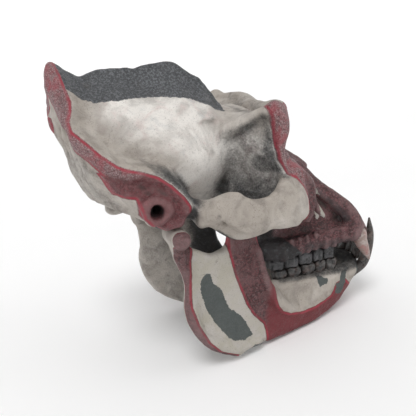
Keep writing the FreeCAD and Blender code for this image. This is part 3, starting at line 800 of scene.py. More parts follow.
def inside(u, v, outline):
    """How many mm points (u, v) lie inside a closed outline; outside is negative."""
    outline = np.asarray(outline, float)
    nearest = np.full(len(u), 1e9)
    odd = np.zeros(len(u), bool)
    for (u0, v0), (u1, v1) in zip(outline, np.roll(outline, -1, axis=0)):
        du, dv = u1 - u0, v1 - v0
        share = np.clip(((u - u0) * du + (v - v0) * dv) / (du * du + dv * dv), 0, 1)
        nearest = np.minimum(nearest, (u - u0 - share * du) ** 2 + (v - v0 - share * dv) ** 2)
        if dv:
            crosses = (v0 > v) != (v1 > v)
            odd ^= crosses & (u < u0 + (v - v0) / dv * du)
    return np.where(odd, 1, -1) * np.sqrt(nearest)


def fade(value, low, high):
    """0 below low, 1 above high, smooth between."""
    share = np.clip((value - low) / (high - low), 0, 1)
    return share * share * (3 - 2 * share)


def blob(x, side, z, centre, radii):
    """1 at a centre, fading to 0 at the radii."""
    gone = ((x - centre[0]) / radii[0]) ** 2 + ((side - centre[1]) / radii[1]) ** 2
    return 1 - fade(gone + ((z - centre[2]) / radii[2]) ** 2, 0.15, 1)


def rim_distance(x, side, z):
    """mm from the nuchal crest's edge."""
    line = curve(RIM, 4)
    nearest = np.full(len(x), 1e9)
    for px, py, pz, _ in line:
        nearest = np.minimum(nearest, (x - px) ** 2 + (side - py) ** 2 + (z - pz) ** 2)
    return np.sqrt(nearest)


def cranium_paint(places, normals):
    """The painted areas of the cranium, with its painted shade."""
    x, side, z = places[:, 0], np.abs(places[:, 1]), places[:, 2]
    outward = normals[:, 1] * np.sign(places[:, 1])

    def within(outline):
        return inside(x, z, outline)

    def spot(centre, radii):
        return blob(x, side, z, centre, radii)

    crest = np.array(CREST_EDGE, float)
    crest_edge = np.interp(x, crest[:, 0], crest[:, 1])
    behind = within(RIM_FRONT)
    slate = np.minimum(z - crest_edge - 0.1 * side, 62 - x)
    slate = np.minimum(np.minimum(slate, 42 - side), -behind + 0.5)
    band = 9.5 + 8 * fade(x, -70, -40) + 9 * fade(z, 84, 98) - rim_distance(x, side, z)
    lobe = np.minimum(side - 50, within(EAR_FIELD))
    crimson = np.minimum(np.maximum(band, lobe), behind)
    face = within(FACE)
    brow = np.where(places[:, 1] < 0, np.maximum(84 - z, side - 58), 90 - z)
    face = np.minimum(face, np.maximum(brow, np.minimum(normals[:, 0] * 30 - 14, x - 90)))
    face = np.minimum(face, np.maximum(outward, normals[:, 0]) * 12 + 7)
    crimson = np.maximum(crimson, face)
    wine = fade(x, 104, 132) * 0.75 + 0.25 * fade(-z, 0, 14) * (x > 85)
    ear = np.hypot(x - EAR_HOLE[0], z - EAR_HOLE[1])
    ear_wine = (0.5 + 0.3 * (ear < 9)) * fade(side, 50, 58)
    wine = np.maximum(wine, fade(within(EAR_FIELD), -4, 4) * ear_wine)
    wine = np.clip(wine, 0, 1)
    above_arch = np.where(z > 42, -73, -60)
    temple = fade(within(TEMPLE), -4, 4) * fade(x, 34, 56) * fade(-side, -78, above_arch)
    # painted shade, darkest in the temple, eye sockets, ear, under the skull base and arch, behind the ear
    # lobe, inside the mouth and in grooves; above the molars and along the front gums it is also the black
    # paint there
    shadows = [
        # behind the eye: the temple, the eye's outer pillar, the floor and below the temporal ridge
        temple * (
            0.50 + 0.34 * fade(side, 54, 62) * fade(z, 40, 50) * fade(x, 62, 74)
            + 0.30 * fade(-z, -46, -26) + 0.24 * fade(z, 72, 84) * fade(-x, -76, -66)
        ),
        0.75 * temple * spot((78, 55, 52), (14, 20, 14)),
        # above the ear, in the ear, and where the cheek arch springs
        0.9 * fade(within(DARK_HOLLOW), -6, 6) * fade(side, 36, 46) * (behind < 0),
        0.7 * fade(-ear, -7, -4) * (side > 50),
        0.6 * spot((27, 80, 20), (4, 8, 5)),
        1.1 * fade(-side, -79, -76) * fade(-z, -9, -4) * fade(x, 22, 30) * fade(-x, -72, -60),
        # in the eye sockets
        1.1 * spot((92, 34, 72), (30, 28, 24)) * fade(-x, -104, -98),
        # above the molars, under the skull base, behind the ear lobe, inside the mouth
        fade(within(GUM_SHADOW), -1, 2) * (side > 24),
        1.1 * fade(-z, -18, -6) * fade(-x, -94, -82) * fade(-side, -66, -56) * fade(x, -34, -22),
        1.1 * spot((9, 66, 14), (7, 22, 22)),
        1.1 * fade(-z, 14, 22) * fade(-outward, -0.3, 0.1) * (x > 90),
        # on the nuchal plane, on the brow's top, along the front gums
        0.34 * fade(behind, 4, 14) * fade(-z, -98, -84) * fade(-side, -56, -44),
        0.30 * fade(z, 84, 92) * fade(x, 66, 82) * fade(-side, -60, -40),
        0.55 * fade(-z, 22, 30) * fade(x, 120, 132),
    ]
    # painted shade in the groove beside the nose
    groove = curve([(128, 30, 36, 1), (143, 35, 20, 1), (158, 39, 5, 1), (172, 39, -8, 1)], 3)
    shadows += [0.62 * spot((px, py, pz), (6.5, 9, 6.5)) for px, py, pz, _ in groove]
    tans = [
        fade(behind, -34, -6) * (behind < 0) * fade(z, 40, 60),
        0.75 * fade(z, 66, 82) * fade(x, 34, 60),
        fade(z, 84, 90) * fade(x, 62, 72),
        fade(side, 62, 68) * fade(-z, -48, -42) * fade(x, 10, 16),
        0.9 * (behind >= 0),
    ]
    cream = np.maximum(within(CHEEK_STREAK), np.minimum(within(NOSE_STREAK), side - 30))
    return {"crimson": np.minimum(crimson, np.where(cream > 0, -cream, 99)), "slate": slate,
            "cream": np.minimum(cream, 2), "shade_and_black_paint": np.maximum.reduce(shadows),
            "tan": np.maximum.reduce(tans), "wine": wine}


def mandible_paint(places, normals):
    """The painted areas of the jaw bone, with its painted shade."""
    x, side, z = places[:, 0], np.abs(places[:, 1]), places[:, 2]
    outward = normals[:, 1] * np.sign(places[:, 1])
    facing = outward * 14 + 5
    field = inside(x, z, RAMUS_FIELD)
    slate = inside(x, z, RAMUS_PATCH)
    for patch in JAW_PATCHES:
        slate = np.maximum(slate, inside(x, z, patch))
    cream = np.minimum(field, facing)
    border = np.array(RAMUS_BORDER, float)
    behind = np.interp(-z, -border[:, 1], border[:, 0]) - x
    strip = np.minimum(behind, 24 * outward - 4)
    crimson = np.maximum(np.minimum(inside(x, z, MUSCLE_BAND), facing), strip)
    wine = 0.55 + 0.3 * fade(x, 40, 90) - 0.2 * blob(x, side, z, (0, 66, 0), (14, 16, 16))
    wine = np.maximum(wine, 0.6 * (x < 30))
    # painted shade on the inner side of the ramus and on every inward-facing surface; along the top of the
    # jaw by the cheek teeth it is also the black paint there
    shadows = [
        0.85 * fade(z, -66, -60) * fade(x, 96, 110),
        fade(-outward, -0.1, 0.4) * fade(x, 40, 62) * fade(z, -84, -50),
        0.28 * fade(-outward, 0.2, 0.8),
    ]
    tan = 0.80 + 0.20 * fade(x, 78, 90)
    return {"crimson": crimson, "slate": np.minimum(slate, facing), "cream": cream,
            "shade_and_black_paint": np.maximum.reduce(shadows), "tan": tan, "wine": np.clip(wine, 0, 1)}


def write_points(mesh, values):
    """Put named numbers on a mesh's points."""
    for name, value in values.items():
        attribute = mesh.attributes.new(name, "FLOAT", "POINT")
        attribute.data.foreach_set("value", np.asarray(value, np.float32))


def places_of(mesh):
    """A mesh's points as an array."""
    flat = np.empty(len(mesh.vertices) * 3, np.float32)
    mesh.vertices.foreach_get("co", flat)
    return flat.reshape(-1, 3).astype(float)


# ------------------------------------------------------------------ materials
class Finish:
    """A procedural material, and short ways to add nodes to it. Sizes are in mm."""

    def __init__(self, name, roughness, specular=0.4):
        self.material = bpy.data.materials.new(name)
        self.material.use_nodes = True
        self.tree = self.material.node_tree
        self.shader = self.tree.nodes["Principled BSDF"]
        self.shader.inputs["Roughness"].default_value = roughness
        self.shader.inputs["Specular IOR Level"].default_value = specular
        self.place = self.tree.nodes.new("ShaderNodeTexCoord").outputs["Object"]

    def join(self, value, socket):
        """Link an output to a socket, or set the socket to a plain value."""
        if hasattr(value, "is_output"):
            self.tree.links.new(value, socket)
        else:
            socket.default_value = value

    def noise(self, size, detail=4.0, rough=0.55, twist=0.0, stretch=(1, 1, 1)):
        """Cloudy numbers from 0 to 1, in lumps about size wide."""
        place = self.place
        if stretch != (1, 1, 1):
            mapping = self.tree.nodes.new("ShaderNodeMapping")
            self.join(place, mapping.inputs["Vector"])
            mapping.inputs["Scale"].default_value = stretch
            place = mapping.outputs[0]
        node = self.tree.nodes.new("ShaderNodeTexNoise")
        self.join(place, node.inputs["Vector"])
        node.inputs["Scale"].default_value = 1000 / size
        node.inputs["Detail"].default_value = detail
        node.inputs["Roughness"].default_value = rough
        node.inputs["Distortion"].default_value = twist
        return node.outputs["Fac"]

    def points(self, name):
        """A number that the mesh's points carry."""
        node = self.tree.nodes.new("ShaderNodeAttribute")
        node.attribute_name = name
        return node.outputs["Fac"]

    def maths(self, operation, *values):
        """The result of a Math node."""
        node = self.tree.nodes.new("ShaderNodeMath")
        node.operation = operation
        for value, socket in zip(values, node.inputs):
            self.join(value, socket)
        return node.outputs[0]

    def sum(self, first, second, third=1.0):
        """first * third + second"""
        return self.maths("MULTIPLY_ADD", first, third, second)

    def times(self, first, second):
        return self.sum(first, 0.0, second)

    def ramp(self, value, low, high, least=0.0, most=1.0):
        """least where value is below low, most where it is above high, smooth between."""
        node = self.tree.nodes.new("ShaderNodeMapRange")
        node.interpolation_type = "SMOOTHSTEP"
        self.join(value, node.inputs["Value"])
        for name, number in (("From Min", low), ("From Max", high), ("To Min", least), ("To Max", most)):
            node.inputs[name].default_value = number
        return node.outputs["Result"]

    def mix(self, share, first, second):
        """The colour second laid over first by share."""
        node = self.tree.nodes.new("ShaderNodeMix")
        node.data_type = "RGBA"
        self.join(share, node.inputs[0])
        for value, socket in ((first, node.inputs[6]), (second, node.inputs[7])):
            self.join(value if hasattr(value, "is_output") else (*value, 1), socket)
        return node.outputs[2]

    def coat(self, under, over, value, low, high, least=0.0, most=1.0):
        """Lay the colour over onto the colour under where value is high."""
        return self.mix(self.ramp(value, low, high, least, most), under, over)

    def coats(self, colour, *layers):
        """Lay coats onto a colour in turn; each layer is what coat takes after under."""
        for layer in layers:
            colour = self.coat(colour, *layer)
        return colour

    def bump(self, height, depth):
        """Raise the surface by height, from 0 to 1, times depth in mm."""
        node = self.tree.nodes.new("ShaderNodeBump")
        node.inputs["Distance"].default_value = depth / 1000
        self.join(height, node.inputs["Height"])
        self.join(node.outputs["Normal"], self.shader.inputs["Normal"])


BONE_WHITE = (0.80, 0.765, 0.72)
BONE_GREY = (0.47, 0.44, 0.41)
BONE_PINK = (0.66, 0.53, 0.50)
BONE_BLUE = (0.42, 0.43, 0.43)
TAN = (0.41, 0.365, 0.32)
TAN_DARK = (0.24, 0.215, 0.19)
CREAM = (0.42, 0.39, 0.33)
ASH = (0.33, 0.255, 0.255)
ASH_ROSE = (0.20, 0.085, 0.09)
ROSE = (0.16, 0.058, 0.062)
ROSE_FIBRE = (0.17, 0.085, 0.087)
ROSE_RIDGE = (0.27, 0.17, 0.17)
SCARLET = (0.34, 0.035, 0.055)
BLOOD = (0.17, 0.022, 0.028)
BLOOD_DARK = (0.09, 0.03, 0.032)
DRIED = (0.045, 0.019, 0.020)
SLATE = (0.055, 0.058, 0.062)
SLATE_LIGHT = (0.15, 0.155, 0.165)
SLATE_FLECK = (0.20, 0.20, 0.21)
SLATE_CLOUD = (0.05, 0.05, 0.055)
SLATE_GREEN = (0.072, 0.084, 0.080)
# near-black for painted shade and for the black paint along the gums
SHADE_AND_PAINT_BLACK = (0.024, 0.024, 0.025)
CHARCOAL = (0.075, 0.085, 0.09)
SPECKLE = (0.12, 0.105, 0.095)
# painted shade for hollows
HOLLOW_SHADE = (0.09, 0.075, 0.065)
CRACK = (0.10, 0.085, 0.075)
# painted shade for the teeth's creases
CREASE_SHADE = (0.012, 0.011, 0.011)
CHIP = (0.32, 0.31, 0.30)


def painted_bone():
    """Cast bone with painted shade, some black paint, and the muscle areas painted on it."""
    paint = Finish("painted_bone", 0.62)
    broad = paint.noise(34, 5, 0.6, 0.6)
    cloud = paint.noise(13, 6, 0.62, 0.8)
    grain = paint.noise(1.7, 5, 0.7)
    fine = paint.noise(0.9, 3, 0.6)
    fibre = paint.noise(9, 5, 0.65, 0.8, (0.4, 1, 0.6))
    bulge, wine = paint.points("bulge"), paint.points("wine")
    crimson, tan_share = paint.points("crimson"), paint.points("tan")

    colour = paint.coats(
        BONE_WHITE,
        (BONE_GREY, broad, 0.44, 0.66),
        (BONE_PINK, cloud, 0.50, 0.72, 0, 0.55),
        (BONE_BLUE, paint.noise(19, 5, 0.6, 1.0), 0.54, 0.74, 0, 0.45),
    )
    tan = paint.coat(TAN, TAN_DARK, cloud, 0.38, 0.70, 0, 0.7)
    colour = paint.mix(paint.times(tan_share, paint.ramp(broad, 0.2, 0.6, 0.65, 1.0)), colour, tan)

    cream = paint.coat(CREAM, BONE_GREY, cloud, 0.34, 0.7)
    jagged = paint.sum(paint.noise(5, 4, 0.7), -1.7, 3.4)
    colour = paint.coat(colour, cream, paint.sum(paint.points("cream"), jagged), -0.25, 0.25)

    # dried red with rose, ash and fibres over it, and a fresher red where the tan share is full
    dried = paint.coats(
        DRIED,
        (ROSE, paint.noise(2.2, 4, 0.7), 0.42, 0.62, 0, 0.85),
        (ASH, grain, 0.54, 0.62, 0, 0.30),
        (ROSE_FIBRE, fibre, 0.48, 0.62, 0, 0.5),
        (ROSE_RIDGE, bulge, 0.15, 0.8, 0, 0.55),
    )
    fresh = paint.coat(BLOOD, BLOOD_DARK, grain, 0.50, 0.66, 0, 0.5)
    dried = paint.mix(paint.times(paint.ramp(tan_share, 0.84, 0.98), 0.8), dried, fresh)
    # muscle areas: ash, rose, scarlet and dried red stippled over each other, brightest at the edge, with
    # painted shade darkening the red in hollows
    old = paint.sum(wine, paint.sum(paint.noise(9, 5, 0.6, 0.7), -0.5), 1.25)
    red = paint.coats(
        ASH,
        (ASH_ROSE, fine, 0.40, 0.56),
        (DRIED, grain, 0.52, 0.62, 0, 0.75),
        (SCARLET, paint.noise(16, 5, 0.6, 0.5), 0.48, 0.64, 0, 0.5),
        (ASH, bulge, 0.25, 0.9, 0, 0.12),
        (dried, old, 0.10, 0.72),
        # painted shade: the red darkens in hollows
        (SHADE_AND_PAINT_BLACK, bulge, -0.75, -0.2, 0.7, 0),
    )
    line = paint.times(paint.ramp(crimson, 0.2, 1.0), paint.ramp(crimson, 1.4, 3.4, 1, 0))
    line = paint.times(line, paint.ramp(paint.noise(11, 4), 0.3, 0.6, 0.25, 0.95))
    red = paint.mix(line, red, SCARLET)
    wobble = paint.sum(paint.noise(3.5, 3, 0.6), -0.6, 1.2)
    colour = paint.coat(colour, red, paint.sum(crimson, wobble), -0.35, 0.35)

    slate = paint.coats(
        SLATE,
        (SLATE_LIGHT, grain, 0.44, 0.62),
        (SLATE_FLECK, fine, 0.58, 0.72, 0, 0.10),
        (SLATE_CLOUD, cloud, 0.52, 0.75, 0, 0.6),
        (SLATE_GREEN, wine, 0.2, 0.5, 0, 0.85),
    )
    ragged = paint.sum(paint.noise(3.4, 3, 0.7), -2.0, 4.0)
    colour = paint.coat(colour, slate, paint.sum(paint.points("slate"), ragged), -0.25, 0.25)
    colour = paint.coat(colour, SPECKLE, fine, 0.56, 0.70, 0, 0.42)

    # painted shade, which also gives the black paint along the gums, broken up by the sponge and deeper in
    # hollows
    sponge = paint.sum(paint.sum(cloud, -0.5), paint.times(paint.sum(grain, -0.5), 0.7), 0.6)
    shadow = paint.sum(bulge, paint.sum(paint.points("shade_and_black_paint"), sponge), -0.16)
    shade_and_black = paint.coat(SHADE_AND_PAINT_BLACK, CHARCOAL, paint.noise(4, 4, 0.6), 0.52, 0.68, 0, 0.7)
    colour = paint.coat(colour, shade_and_black, shadow, 0.06, 0.92, 0.0, 0.97)

    # painted shade in hollows, and hairline cracks
    colour = paint.coat(colour, HOLLOW_SHADE, bulge, -0.9, -0.12, 0.55, 0)
    winding = paint.maths("ABSOLUTE", paint.sum(paint.noise(24, 4, 0.5, 0.4), -0.5))
    crack = paint.times(paint.ramp(winding, 0.001, 0.003, 0.5, 0), paint.ramp(broad, 0.50, 0.60))
    colour = paint.mix(crack, colour, CRACK)
    paint.join(colour, paint.shader.inputs["Base Color"])
    paint.join(paint.ramp(cloud, 0.3, 0.7, 0.50, 0.74), paint.shader.inputs["Roughness"])
    pitted = paint.sum(paint.times(grain, 0.5), paint.times(cloud, 0.9))
    pitted = paint.sum(paint.times(fibre, paint.ramp(crimson, 0, 3, 0.3, 2.2)), pitted)
    paint.bump(paint.sum(pitted, paint.times(fine, 0.3)), 1.3)
    return paint.material


def tooth_enamel(name, dark, light, stain, amount):
    """Blackened enamel with stains, paler on its ridges (worn edges and painted highlight) and darker in its
    creases (painted shade).
    """
    paint = Finish(name, 0.34, 0.5)
    cloud = paint.noise(4.5, 5, 0.6, 0.8)
    grain = paint.noise(1.2, 4, 0.6)
    bulge = paint.points("bulge")
    colour = paint.coats(
        dark,
        (light, cloud, 0.40, 0.66),
        (stain, paint.noise(6, 5, 0.6, 0.5), 0.46, 0.62, 0, amount),
        # paler on ridges: worn edges, and a painted highlight
        (light, bulge, 0.15, 0.9, 0, 0.55),
        # painted shade: darker in creases
        (CREASE_SHADE, bulge, -0.6, 0.0, 0.9, 0),
        (CHIP, grain, 0.6, 0.75, 0, 0.4),
    )
    paint.join(colour, paint.shader.inputs["Base Color"])
    paint.join(paint.ramp(cloud, 0.3, 0.7, 0.26, 0.5), paint.shader.inputs["Roughness"])
    paint.bump(paint.sum(paint.noise(5, 3, 0.5, 0, (1, 1, 0.25)), paint.times(grain, 0.4)), 0.35)
    return paint.material


def turned_brass():
    """The hinge pins: dull brass with fine turning marks."""
    paint = Finish("turned_brass", 0.3, 0.5)
    paint.shader.inputs["Metallic"].default_value = 1.0
    marks = paint.noise(0.5, 3, 0.6, 0, (0.1, 4, 0.1))
    stain = paint.noise(3, 5, 0.6, 0.4)
    colour = paint.coat((0.52, 0.36, 0.15), (0.24, 0.15, 0.07), stain, 0.45, 0.7)
    paint.join(colour, paint.shader.inputs["Base Color"])
    paint.join(paint.ramp(marks, 0.3, 0.7, 0.22, 0.46), paint.shader.inputs["Roughness"])
    paint.bump(marks, 0.05)
    return paint.material


def pale_floor():
    """A plain pale studio floor."""
    paint = Finish("pale_floor", 0.85, 0.2)
    colour = paint.coat((0.98, 0.98, 0.98), (0.96, 0.96, 0.96), paint.noise(400, 3), 0.3, 0.7)
    paint.join(colour, paint.shader.inputs["Base Color"])
    return paint.material


# ------------------------------------------------------------------ building the pieces
WEAR = ((26, 0.9), (11, 0.55), (5, 0.32))     # mm: widths and depths of a bone's worn lumps


def sculpted(clay, sockets, seed):
    """A finished bone: sockets carved, halves joined, and worn unevenly."""
    clay.soften(1)
    for socket in sockets:
        clay.balls(socket, 1.0, hollow=True)
    field, low = both_halves(clay)
    wear = sum(
        depth * lumps(field.shape, clay.step, size, seed + n)
        for n, (size, depth) in enumerate(WEAR)
    )
    near = np.abs(field) < 6
    return Form(np.where(near, field + wear, field), low, clay.step)


def finish_piece(mesh, name, form, node, body, material, paint):
    """Put a piece made in the skull frame where its CAD node is."""
    places = places_of(mesh)
    normals = form.normals(places)
    values = paint(places, normals) if paint else {}
    values["bulge"] = form.bulge(places)
    write_points(mesh, values)
    mesh.transform(TO_ROW)
    turn = np.array(Matrix.Rotation(REST_TILT, 3, "Y"))
    mesh.normals_split_custom_set_from_vertices((normals @ turn.T).tolist())
    piece = new_object(name, mesh)
    mesh.materials.clear()
    mesh.materials.append(material)
    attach(piece, body)
    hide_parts(node)


def mirrored(mesh, name):
    """The mesh's image in the mid-plane."""
    twin = mesh.copy()
    twin.name = name
    twin.transform(Matrix.Scale(-1, 4, (0, 1, 0)))
    twin.flip_normals()
    return twin


# where the cranium is sawn into its bones, in mm
CORONAL = 32          # frontal from parietals
LAMBDA = -45          # parietals from occipital
EAR_LINE = 58         # top of the temporals
BASE_HALF = 24        # half the width of the skull base between the temporals
CHEEK_FRONT = 88
CHEEK_HALF = 46
ARCH_INNER = 60       # inner side of the cheek arches
ARCH_SUTURE = 50
FACE_TOP = 62
PALATE_FRONT = 108
PREMAXILLA_BACK = 178
PREMAXILLA_HALF = 27
NASAL_HALF = 9
SPHENOID_BACK = -6
NASAL_BACK = 96
NASAL_LOW = 34
PALATE_TOP = -20
LIMIT = 160           # beyond the skull on every side
LAP = 15              # how far two boxes of one region reach into each other


def across(low, high, inner, side):
    """A box's corners for a region between inner and the outside, on one side."""
    if side > 0:
        return (low[0], inner, low[1]), (high[0], LIMIT, high[1])
    return (low[0], -LIMIT, low[1]), (high[0], -inner, high[1])


def bone_regions():
    """For each cranial bone: the boxes that it fills, and the boxes taken from them."""
    regions = {
        "frontal_bone": ([((CORONAL, -LIMIT, FACE_TOP), (LIMIT, LIMIT, LIMIT))], []),
        "occipital_bone": (
            [((-LIMIT, -LIMIT, -LIMIT), (LAMBDA, LIMIT, LIMIT)),
             ((LAMBDA - LAP, -BASE_HALF, -LIMIT), (SPHENOID_BACK, BASE_HALF, EAR_LINE))], []),
        "sphenoid": (
            [((SPHENOID_BACK, -BASE_HALF, -LIMIT), (CORONAL + LAP, BASE_HALF, EAR_LINE)),
             ((CORONAL, -ARCH_INNER, -LIMIT), (CHEEK_FRONT, ARCH_INNER, FACE_TOP))], []),
        "premaxilla": (
            [((PREMAXILLA_BACK, -PREMAXILLA_HALF, -LIMIT), (2 * LIMIT, PREMAXILLA_HALF, FACE_TOP))], []),
        "nasal_bones": (
            [((NASAL_BACK, -NASAL_HALF, NASAL_LOW), (PREMAXILLA_BACK, NASAL_HALF, FACE_TOP))], []),
        "palatine": (
            [((CHEEK_FRONT, -BASE_HALF, -LIMIT), (PALATE_FRONT, BASE_HALF, PALATE_TOP))], []),
    }
    face = [regions[name][0][0] for name in ("premaxilla", "nasal_bones", "palatine")]
    for name, side in SIDES:
        regions[f"parietal_{name}"] = (
            [across((LAMBDA, EAR_LINE), (CORONAL, LIMIT), 0, side)], [])
        regions[f"temporal_{name}"] = (
            [across((LAMBDA, -LIMIT), (CORONAL, EAR_LINE), BASE_HALF, side),
             across((CORONAL - LAP, -LIMIT), (ARCH_SUTURE, EAR_LINE), ARCH_INNER, side)], [])
        regions[f"zygomatic_{name}"] = (
            [across((ARCH_SUTURE, -LIMIT), (LIMIT, FACE_TOP), ARCH_INNER, side),
             across((CHEEK_FRONT, -LIMIT), (LIMIT, FACE_TOP), CHEEK_HALF, side)], [])
        low, high = across((CHEEK_FRONT, -LIMIT), (2 * LIMIT, FACE_TOP), 0, side)
        if side > 0:
            high = (high[0], CHEEK_HALF, high[2])
        else:
            low = (low[0], -CHEEK_HALF, low[2])
        regions[f"maxilla_{name}"] = ([(low, high)], face)
    return regions


def box_mesh(low, high):
    """A plain box between two corners."""
    corners = [(x, y, z) for x in (low[0], high[0]) for y in (low[1], high[1]) for z in (low[2], high[2])]
    faces = [(0, 1, 3, 2), (4, 6, 7, 5), (0, 4, 5, 1), (2, 3, 7, 6), (0, 2, 6, 4), (1, 5, 7, 3)]
    mesh = bpy.data.meshes.new("saw")
    mesh.from_pydata(corners, [], faces)
    return mesh


def sawn(mesh, other, operation):
    """A mesh joined with, cut by or kept inside another."""
    piece, tool = new_object("sawing", mesh), new_object("saw", other)
    cut = piece.modifiers.new("cut", "BOOLEAN")
    cut.operation = operation
    cut.solver = "MANIFOLD"
    cut.object = tool
    bpy.context.view_layer.update()
    result = bpy.data.meshes.new_from_object(piece.evaluated_get(bpy.context.evaluated_depsgraph_get()))
    for item in (piece, tool):
        bpy.data.objects.remove(item)
    return result


def saw_bone(whole, keep, leave):
    """The part of the cranium inside one region."""
    region = box_mesh(*keep[0])
    for corners in keep[1:]:
        region = sawn(region, box_mesh(*corners), "UNION")
    for corners in leave:
        region = sawn(region, box_mesh(*corners), "DIFFERENCE")
    bone = sawn(whole, region, "INTERSECT")
    shade_smooth(bone)
    return bone


def build_cranium(material):
    """Sculpt the cranium whole, then saw it into its bones."""
    clay = Clay(BONE_STEP, HALF_LOW, HALF_HIGH)
    sculpt_vault(clay)
    sculpt_ear_region(clay)
    sculpt_brow(clay)
    sculpt_snout(clay)
    sculpt_arch(clay)
    sculpt_base(clay)
    form = sculpted(clay, [socket_of("upper", kind) for kind in TOOTH_KINDS], 11)
    whole = form.mesh("cranium")
    for node, (keep, leave) in bone_regions().items():
        bone = saw_bone(whole, keep, leave)
        finish_piece(
            bone, f"{node}_painted", form, node, "cranium", material, cranium_paint,
        )


def build_vomer(material):
    """The thin plate that parts the nose."""
    low, high = skull_box("vomer")
    clay = Clay(0.6, low - 4, high + 4)
    length, height = high[0] - low[0], high[2] - low[2]
    rows = []
    for share in (0.06, 0.35, 0.65, 0.94):
        x = low[0] + share * length
        sag = 0.12 * height * math.sin(math.pi * share)
        rows.append([(x, 0, low[2] + 1.2 + sag, 0.9), (x, 0, high[2] - 1.2 - sag, 0.7)])
    clay.skin(rows, 0.9, 0.6)
    form = Form(clay.field, clay.low, clay.step)
    finish_piece(
        form.mesh("vomer"), "vomer_painted", form, "vomer", "cranium", material,
        cranium_paint,
    )


def build_mandible(material):
    """Sculpt the jaw bone."""
    clay = Clay(BONE_STEP, HALF_LOW, HALF_HIGH)
    sculpt_mandible(clay)
    form = sculpted(clay, [socket_of("lower", kind) for kind in TOOTH_KINDS], 29)
    finish_piece(
        form.mesh("mandible"), "mandible_painted", form, "mandible", "jaw", material,
        mandible_paint,
    )


# name, dark, light and stain colours, share stained
ENAMELS = (
    ("blackened_enamel", (0.014, 0.014, 0.015), (0.085, 0.085, 0.09), (0.04, 0.036, 0.04), 0.5),
    ("stained_enamel", (0.018, 0.017, 0.017), (0.10, 0.095, 0.09), (0.08, 0.038, 0.028), 0.4),
    ("pale_enamel", (0.26, 0.19, 0.17), (0.42, 0.36, 0.33), (0.34, 0.14, 0.13), 0.6),
    ("grey_enamel", (0.035, 0.031, 0.029), (0.15, 0.135, 0.125), (0.09, 0.055, 0.045), 0.6),
)


def build_teeth():
    """All 32 teeth; the right ones mirror the left."""
    black, brown, cream, horn = [tooth_enamel(*enamel) for enamel in ENAMELS]
    for jaw, body, slot in (("upper", "cranium", "upper_teeth"), ("lower", "jaw", "lower_teeth")):
        for seed, kind in enumerate(TOOTH_KINDS):
            if kind == "canine":
                clay = sculpt_canine(jaw)
                enamel = cream if jaw == "upper" else horn
            elif kind.startswith("incisor"):
                clay = sculpt_incisor(jaw, *tooth_box(jaw, kind))
                enamel = horn
            else:
                clay = sculpt_cheek_tooth(jaw, *tooth_box(jaw, kind), seed)
                enamel = black if jaw == "upper" else brown
            form = Form(clay.field, clay.low, clay.step)
            flipped = Form(clay.field[:, ::-1, :], clay.low * (1, 0, 1), clay.step)
            flipped.low[1] = -(clay.low[1] + clay.step * (clay.field.shape[1] - 1))
            left = form.mesh(kind)
            right = mirrored(left, kind)
            for side, mesh, shape in (("left", left, form), ("right", right, flipped)):
                node = f"{jaw}_{kind}_{side}"
                finish_piece(mesh, f"{node}_crown", shape, node, body, enamel, None)


def dress_pins():
    """The hinge pins keep their CAD shape and get a brass finish."""
    brass = turned_brass()
    for side, _ in SIDES:
        pin = frame["nodes"][f"jaw_hinge_pin_{side}"]
        pin.data.materials.clear()
        pin.data.materials.append(brass)


# ------------------------------------------------------------------ stage
VIEW_TARGET = Vector((51.3, 0, 3.4))        # mm, skull frame
VIEW_DISTANCE = 0.600
VIEW_SIDE = math.radians(22)                # how far behind the skull's right side the camera stands
VIEW_RISE = math.radians(15)
VIEW_LENS = 57.7


def set_camera():
    """A camera behind and above the skull's right side."""
    data = bpy.data.cameras.new("camera")
    camera = new_object("camera", data)
    bpy.context.scene.camera = camera
    data.lens = VIEW_LENS
    data.sensor_width = 36
    data.clip_start = 0.01
    look = Vector((
        math.sin(VIEW_SIDE) * math.cos(VIEW_RISE), math.cos(VIEW_SIDE) * math.cos(VIEW_RISE),
        -math.sin(VIEW_RISE),
    ))
    right = look.cross(Vector((0, 0, 1))).normalized()
    up = right.cross(look)
    turn = Matrix((right, up, -look)).transposed()
    camera.matrix_world = (
        Matrix.Translation(TO_ROW @ VIEW_TARGET)
        @ Matrix.Rotation(REST_TILT, 4, "Y")
        @ turn.to_4x4()
        @ Matrix.Translation((0, 0, VIEW_DISTANCE))
    )


def add_sun(name, towards, softness, power):
    """A far, soft lamp in the direction towards, softness degrees wide."""
    light = bpy.data.lights.new(name, "SUN")
    light.angle = math.radians(softness)
    light.energy = power
    new_object(name, light).rotation_euler = Vector(towards).to_track_quat("Z", "Y").to_euler()


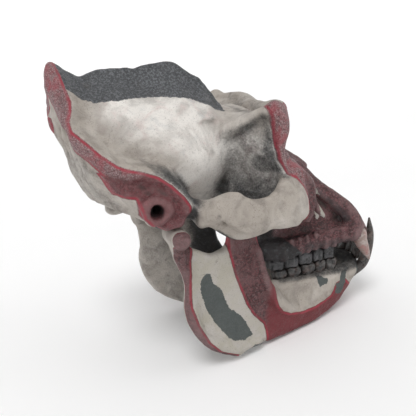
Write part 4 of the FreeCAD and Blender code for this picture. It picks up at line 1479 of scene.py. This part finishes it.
FLOOR_FLAT = 2.6          # m: the flat disc's radius
FLOOR_SWEEP = 1.2         # m: how wide and high its edge curves up
FLOOR_WALL = 1.9          # m: the wall's top
FLOOR_SIDES = 96
FLOOR_GAP = 0.0005        # m between the floor and the lowest point
WORLD_LIGHT = 0.62
# name, direction towards the lamp, width in degrees, power
SUNS = (("key", (-0.30, -0.55, 1.0), 25, 1.25), ("side", (0.9, -0.7, 0.7), 40, 0.25))


def floor_bowl():
    """A flat disc whose edge sweeps up into a wall all round."""
    profile = [(0.4, 0.0), (FLOOR_FLAT, 0.0)]
    for turn in np.linspace(0, math.pi / 2, 14)[1:]:
        profile.append((FLOOR_FLAT + FLOOR_SWEEP * math.sin(turn), FLOOR_SWEEP * (1 - math.cos(turn))))
    profile.append((FLOOR_FLAT + FLOOR_SWEEP, FLOOR_WALL))
    points = [(0.0, 0.0, 0.0)]
    for radius, height in profile:
        for n in range(FLOOR_SIDES):
            turn = 2 * math.pi * n / FLOOR_SIDES
            points.append((radius * math.cos(turn), radius * math.sin(turn), height))
    faces = [(0, 1 + n, 1 + (n + 1) % FLOOR_SIDES) for n in range(FLOOR_SIDES)]
    for ring in range(len(profile) - 1):
        start = 1 + ring * FLOOR_SIDES
        for n in range(FLOOR_SIDES):
            after = (n + 1) % FLOOR_SIDES
            faces.append((
                start + n, start + FLOOR_SIDES + n, start + FLOOR_SIDES + after, start + after,
            ))
    mesh = bpy.data.meshes.new("floor")
    mesh.from_pydata(points, [], faces)
    shade_smooth(mesh)
    mesh.materials.append(pale_floor())
    return mesh


def set_stage():
    """Floor, world light and lamps around the skull."""
    lowest = min(cad_box[0][2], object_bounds()[0][2])
    floor = new_object("floor", floor_bowl())
    floor.location.z = lowest - FLOOR_GAP
    world = bpy.data.worlds.new("studio")
    bpy.context.scene.world = world
    world.use_nodes = True
    background = world.node_tree.nodes["Background"]
    background.inputs["Color"].default_value = (1, 1, 1, 1)
    background.inputs["Strength"].default_value = WORLD_LIGHT
    for sun in SUNS:
        add_sun(*sun)
    bpy.context.scene.view_settings.view_transform = "Standard"


set_camera()
bone_material = painted_bone()
build_cranium(bone_material)
build_vomer(bone_material)
build_mandible(bone_material)
build_teeth()
dress_pins()
set_stage()
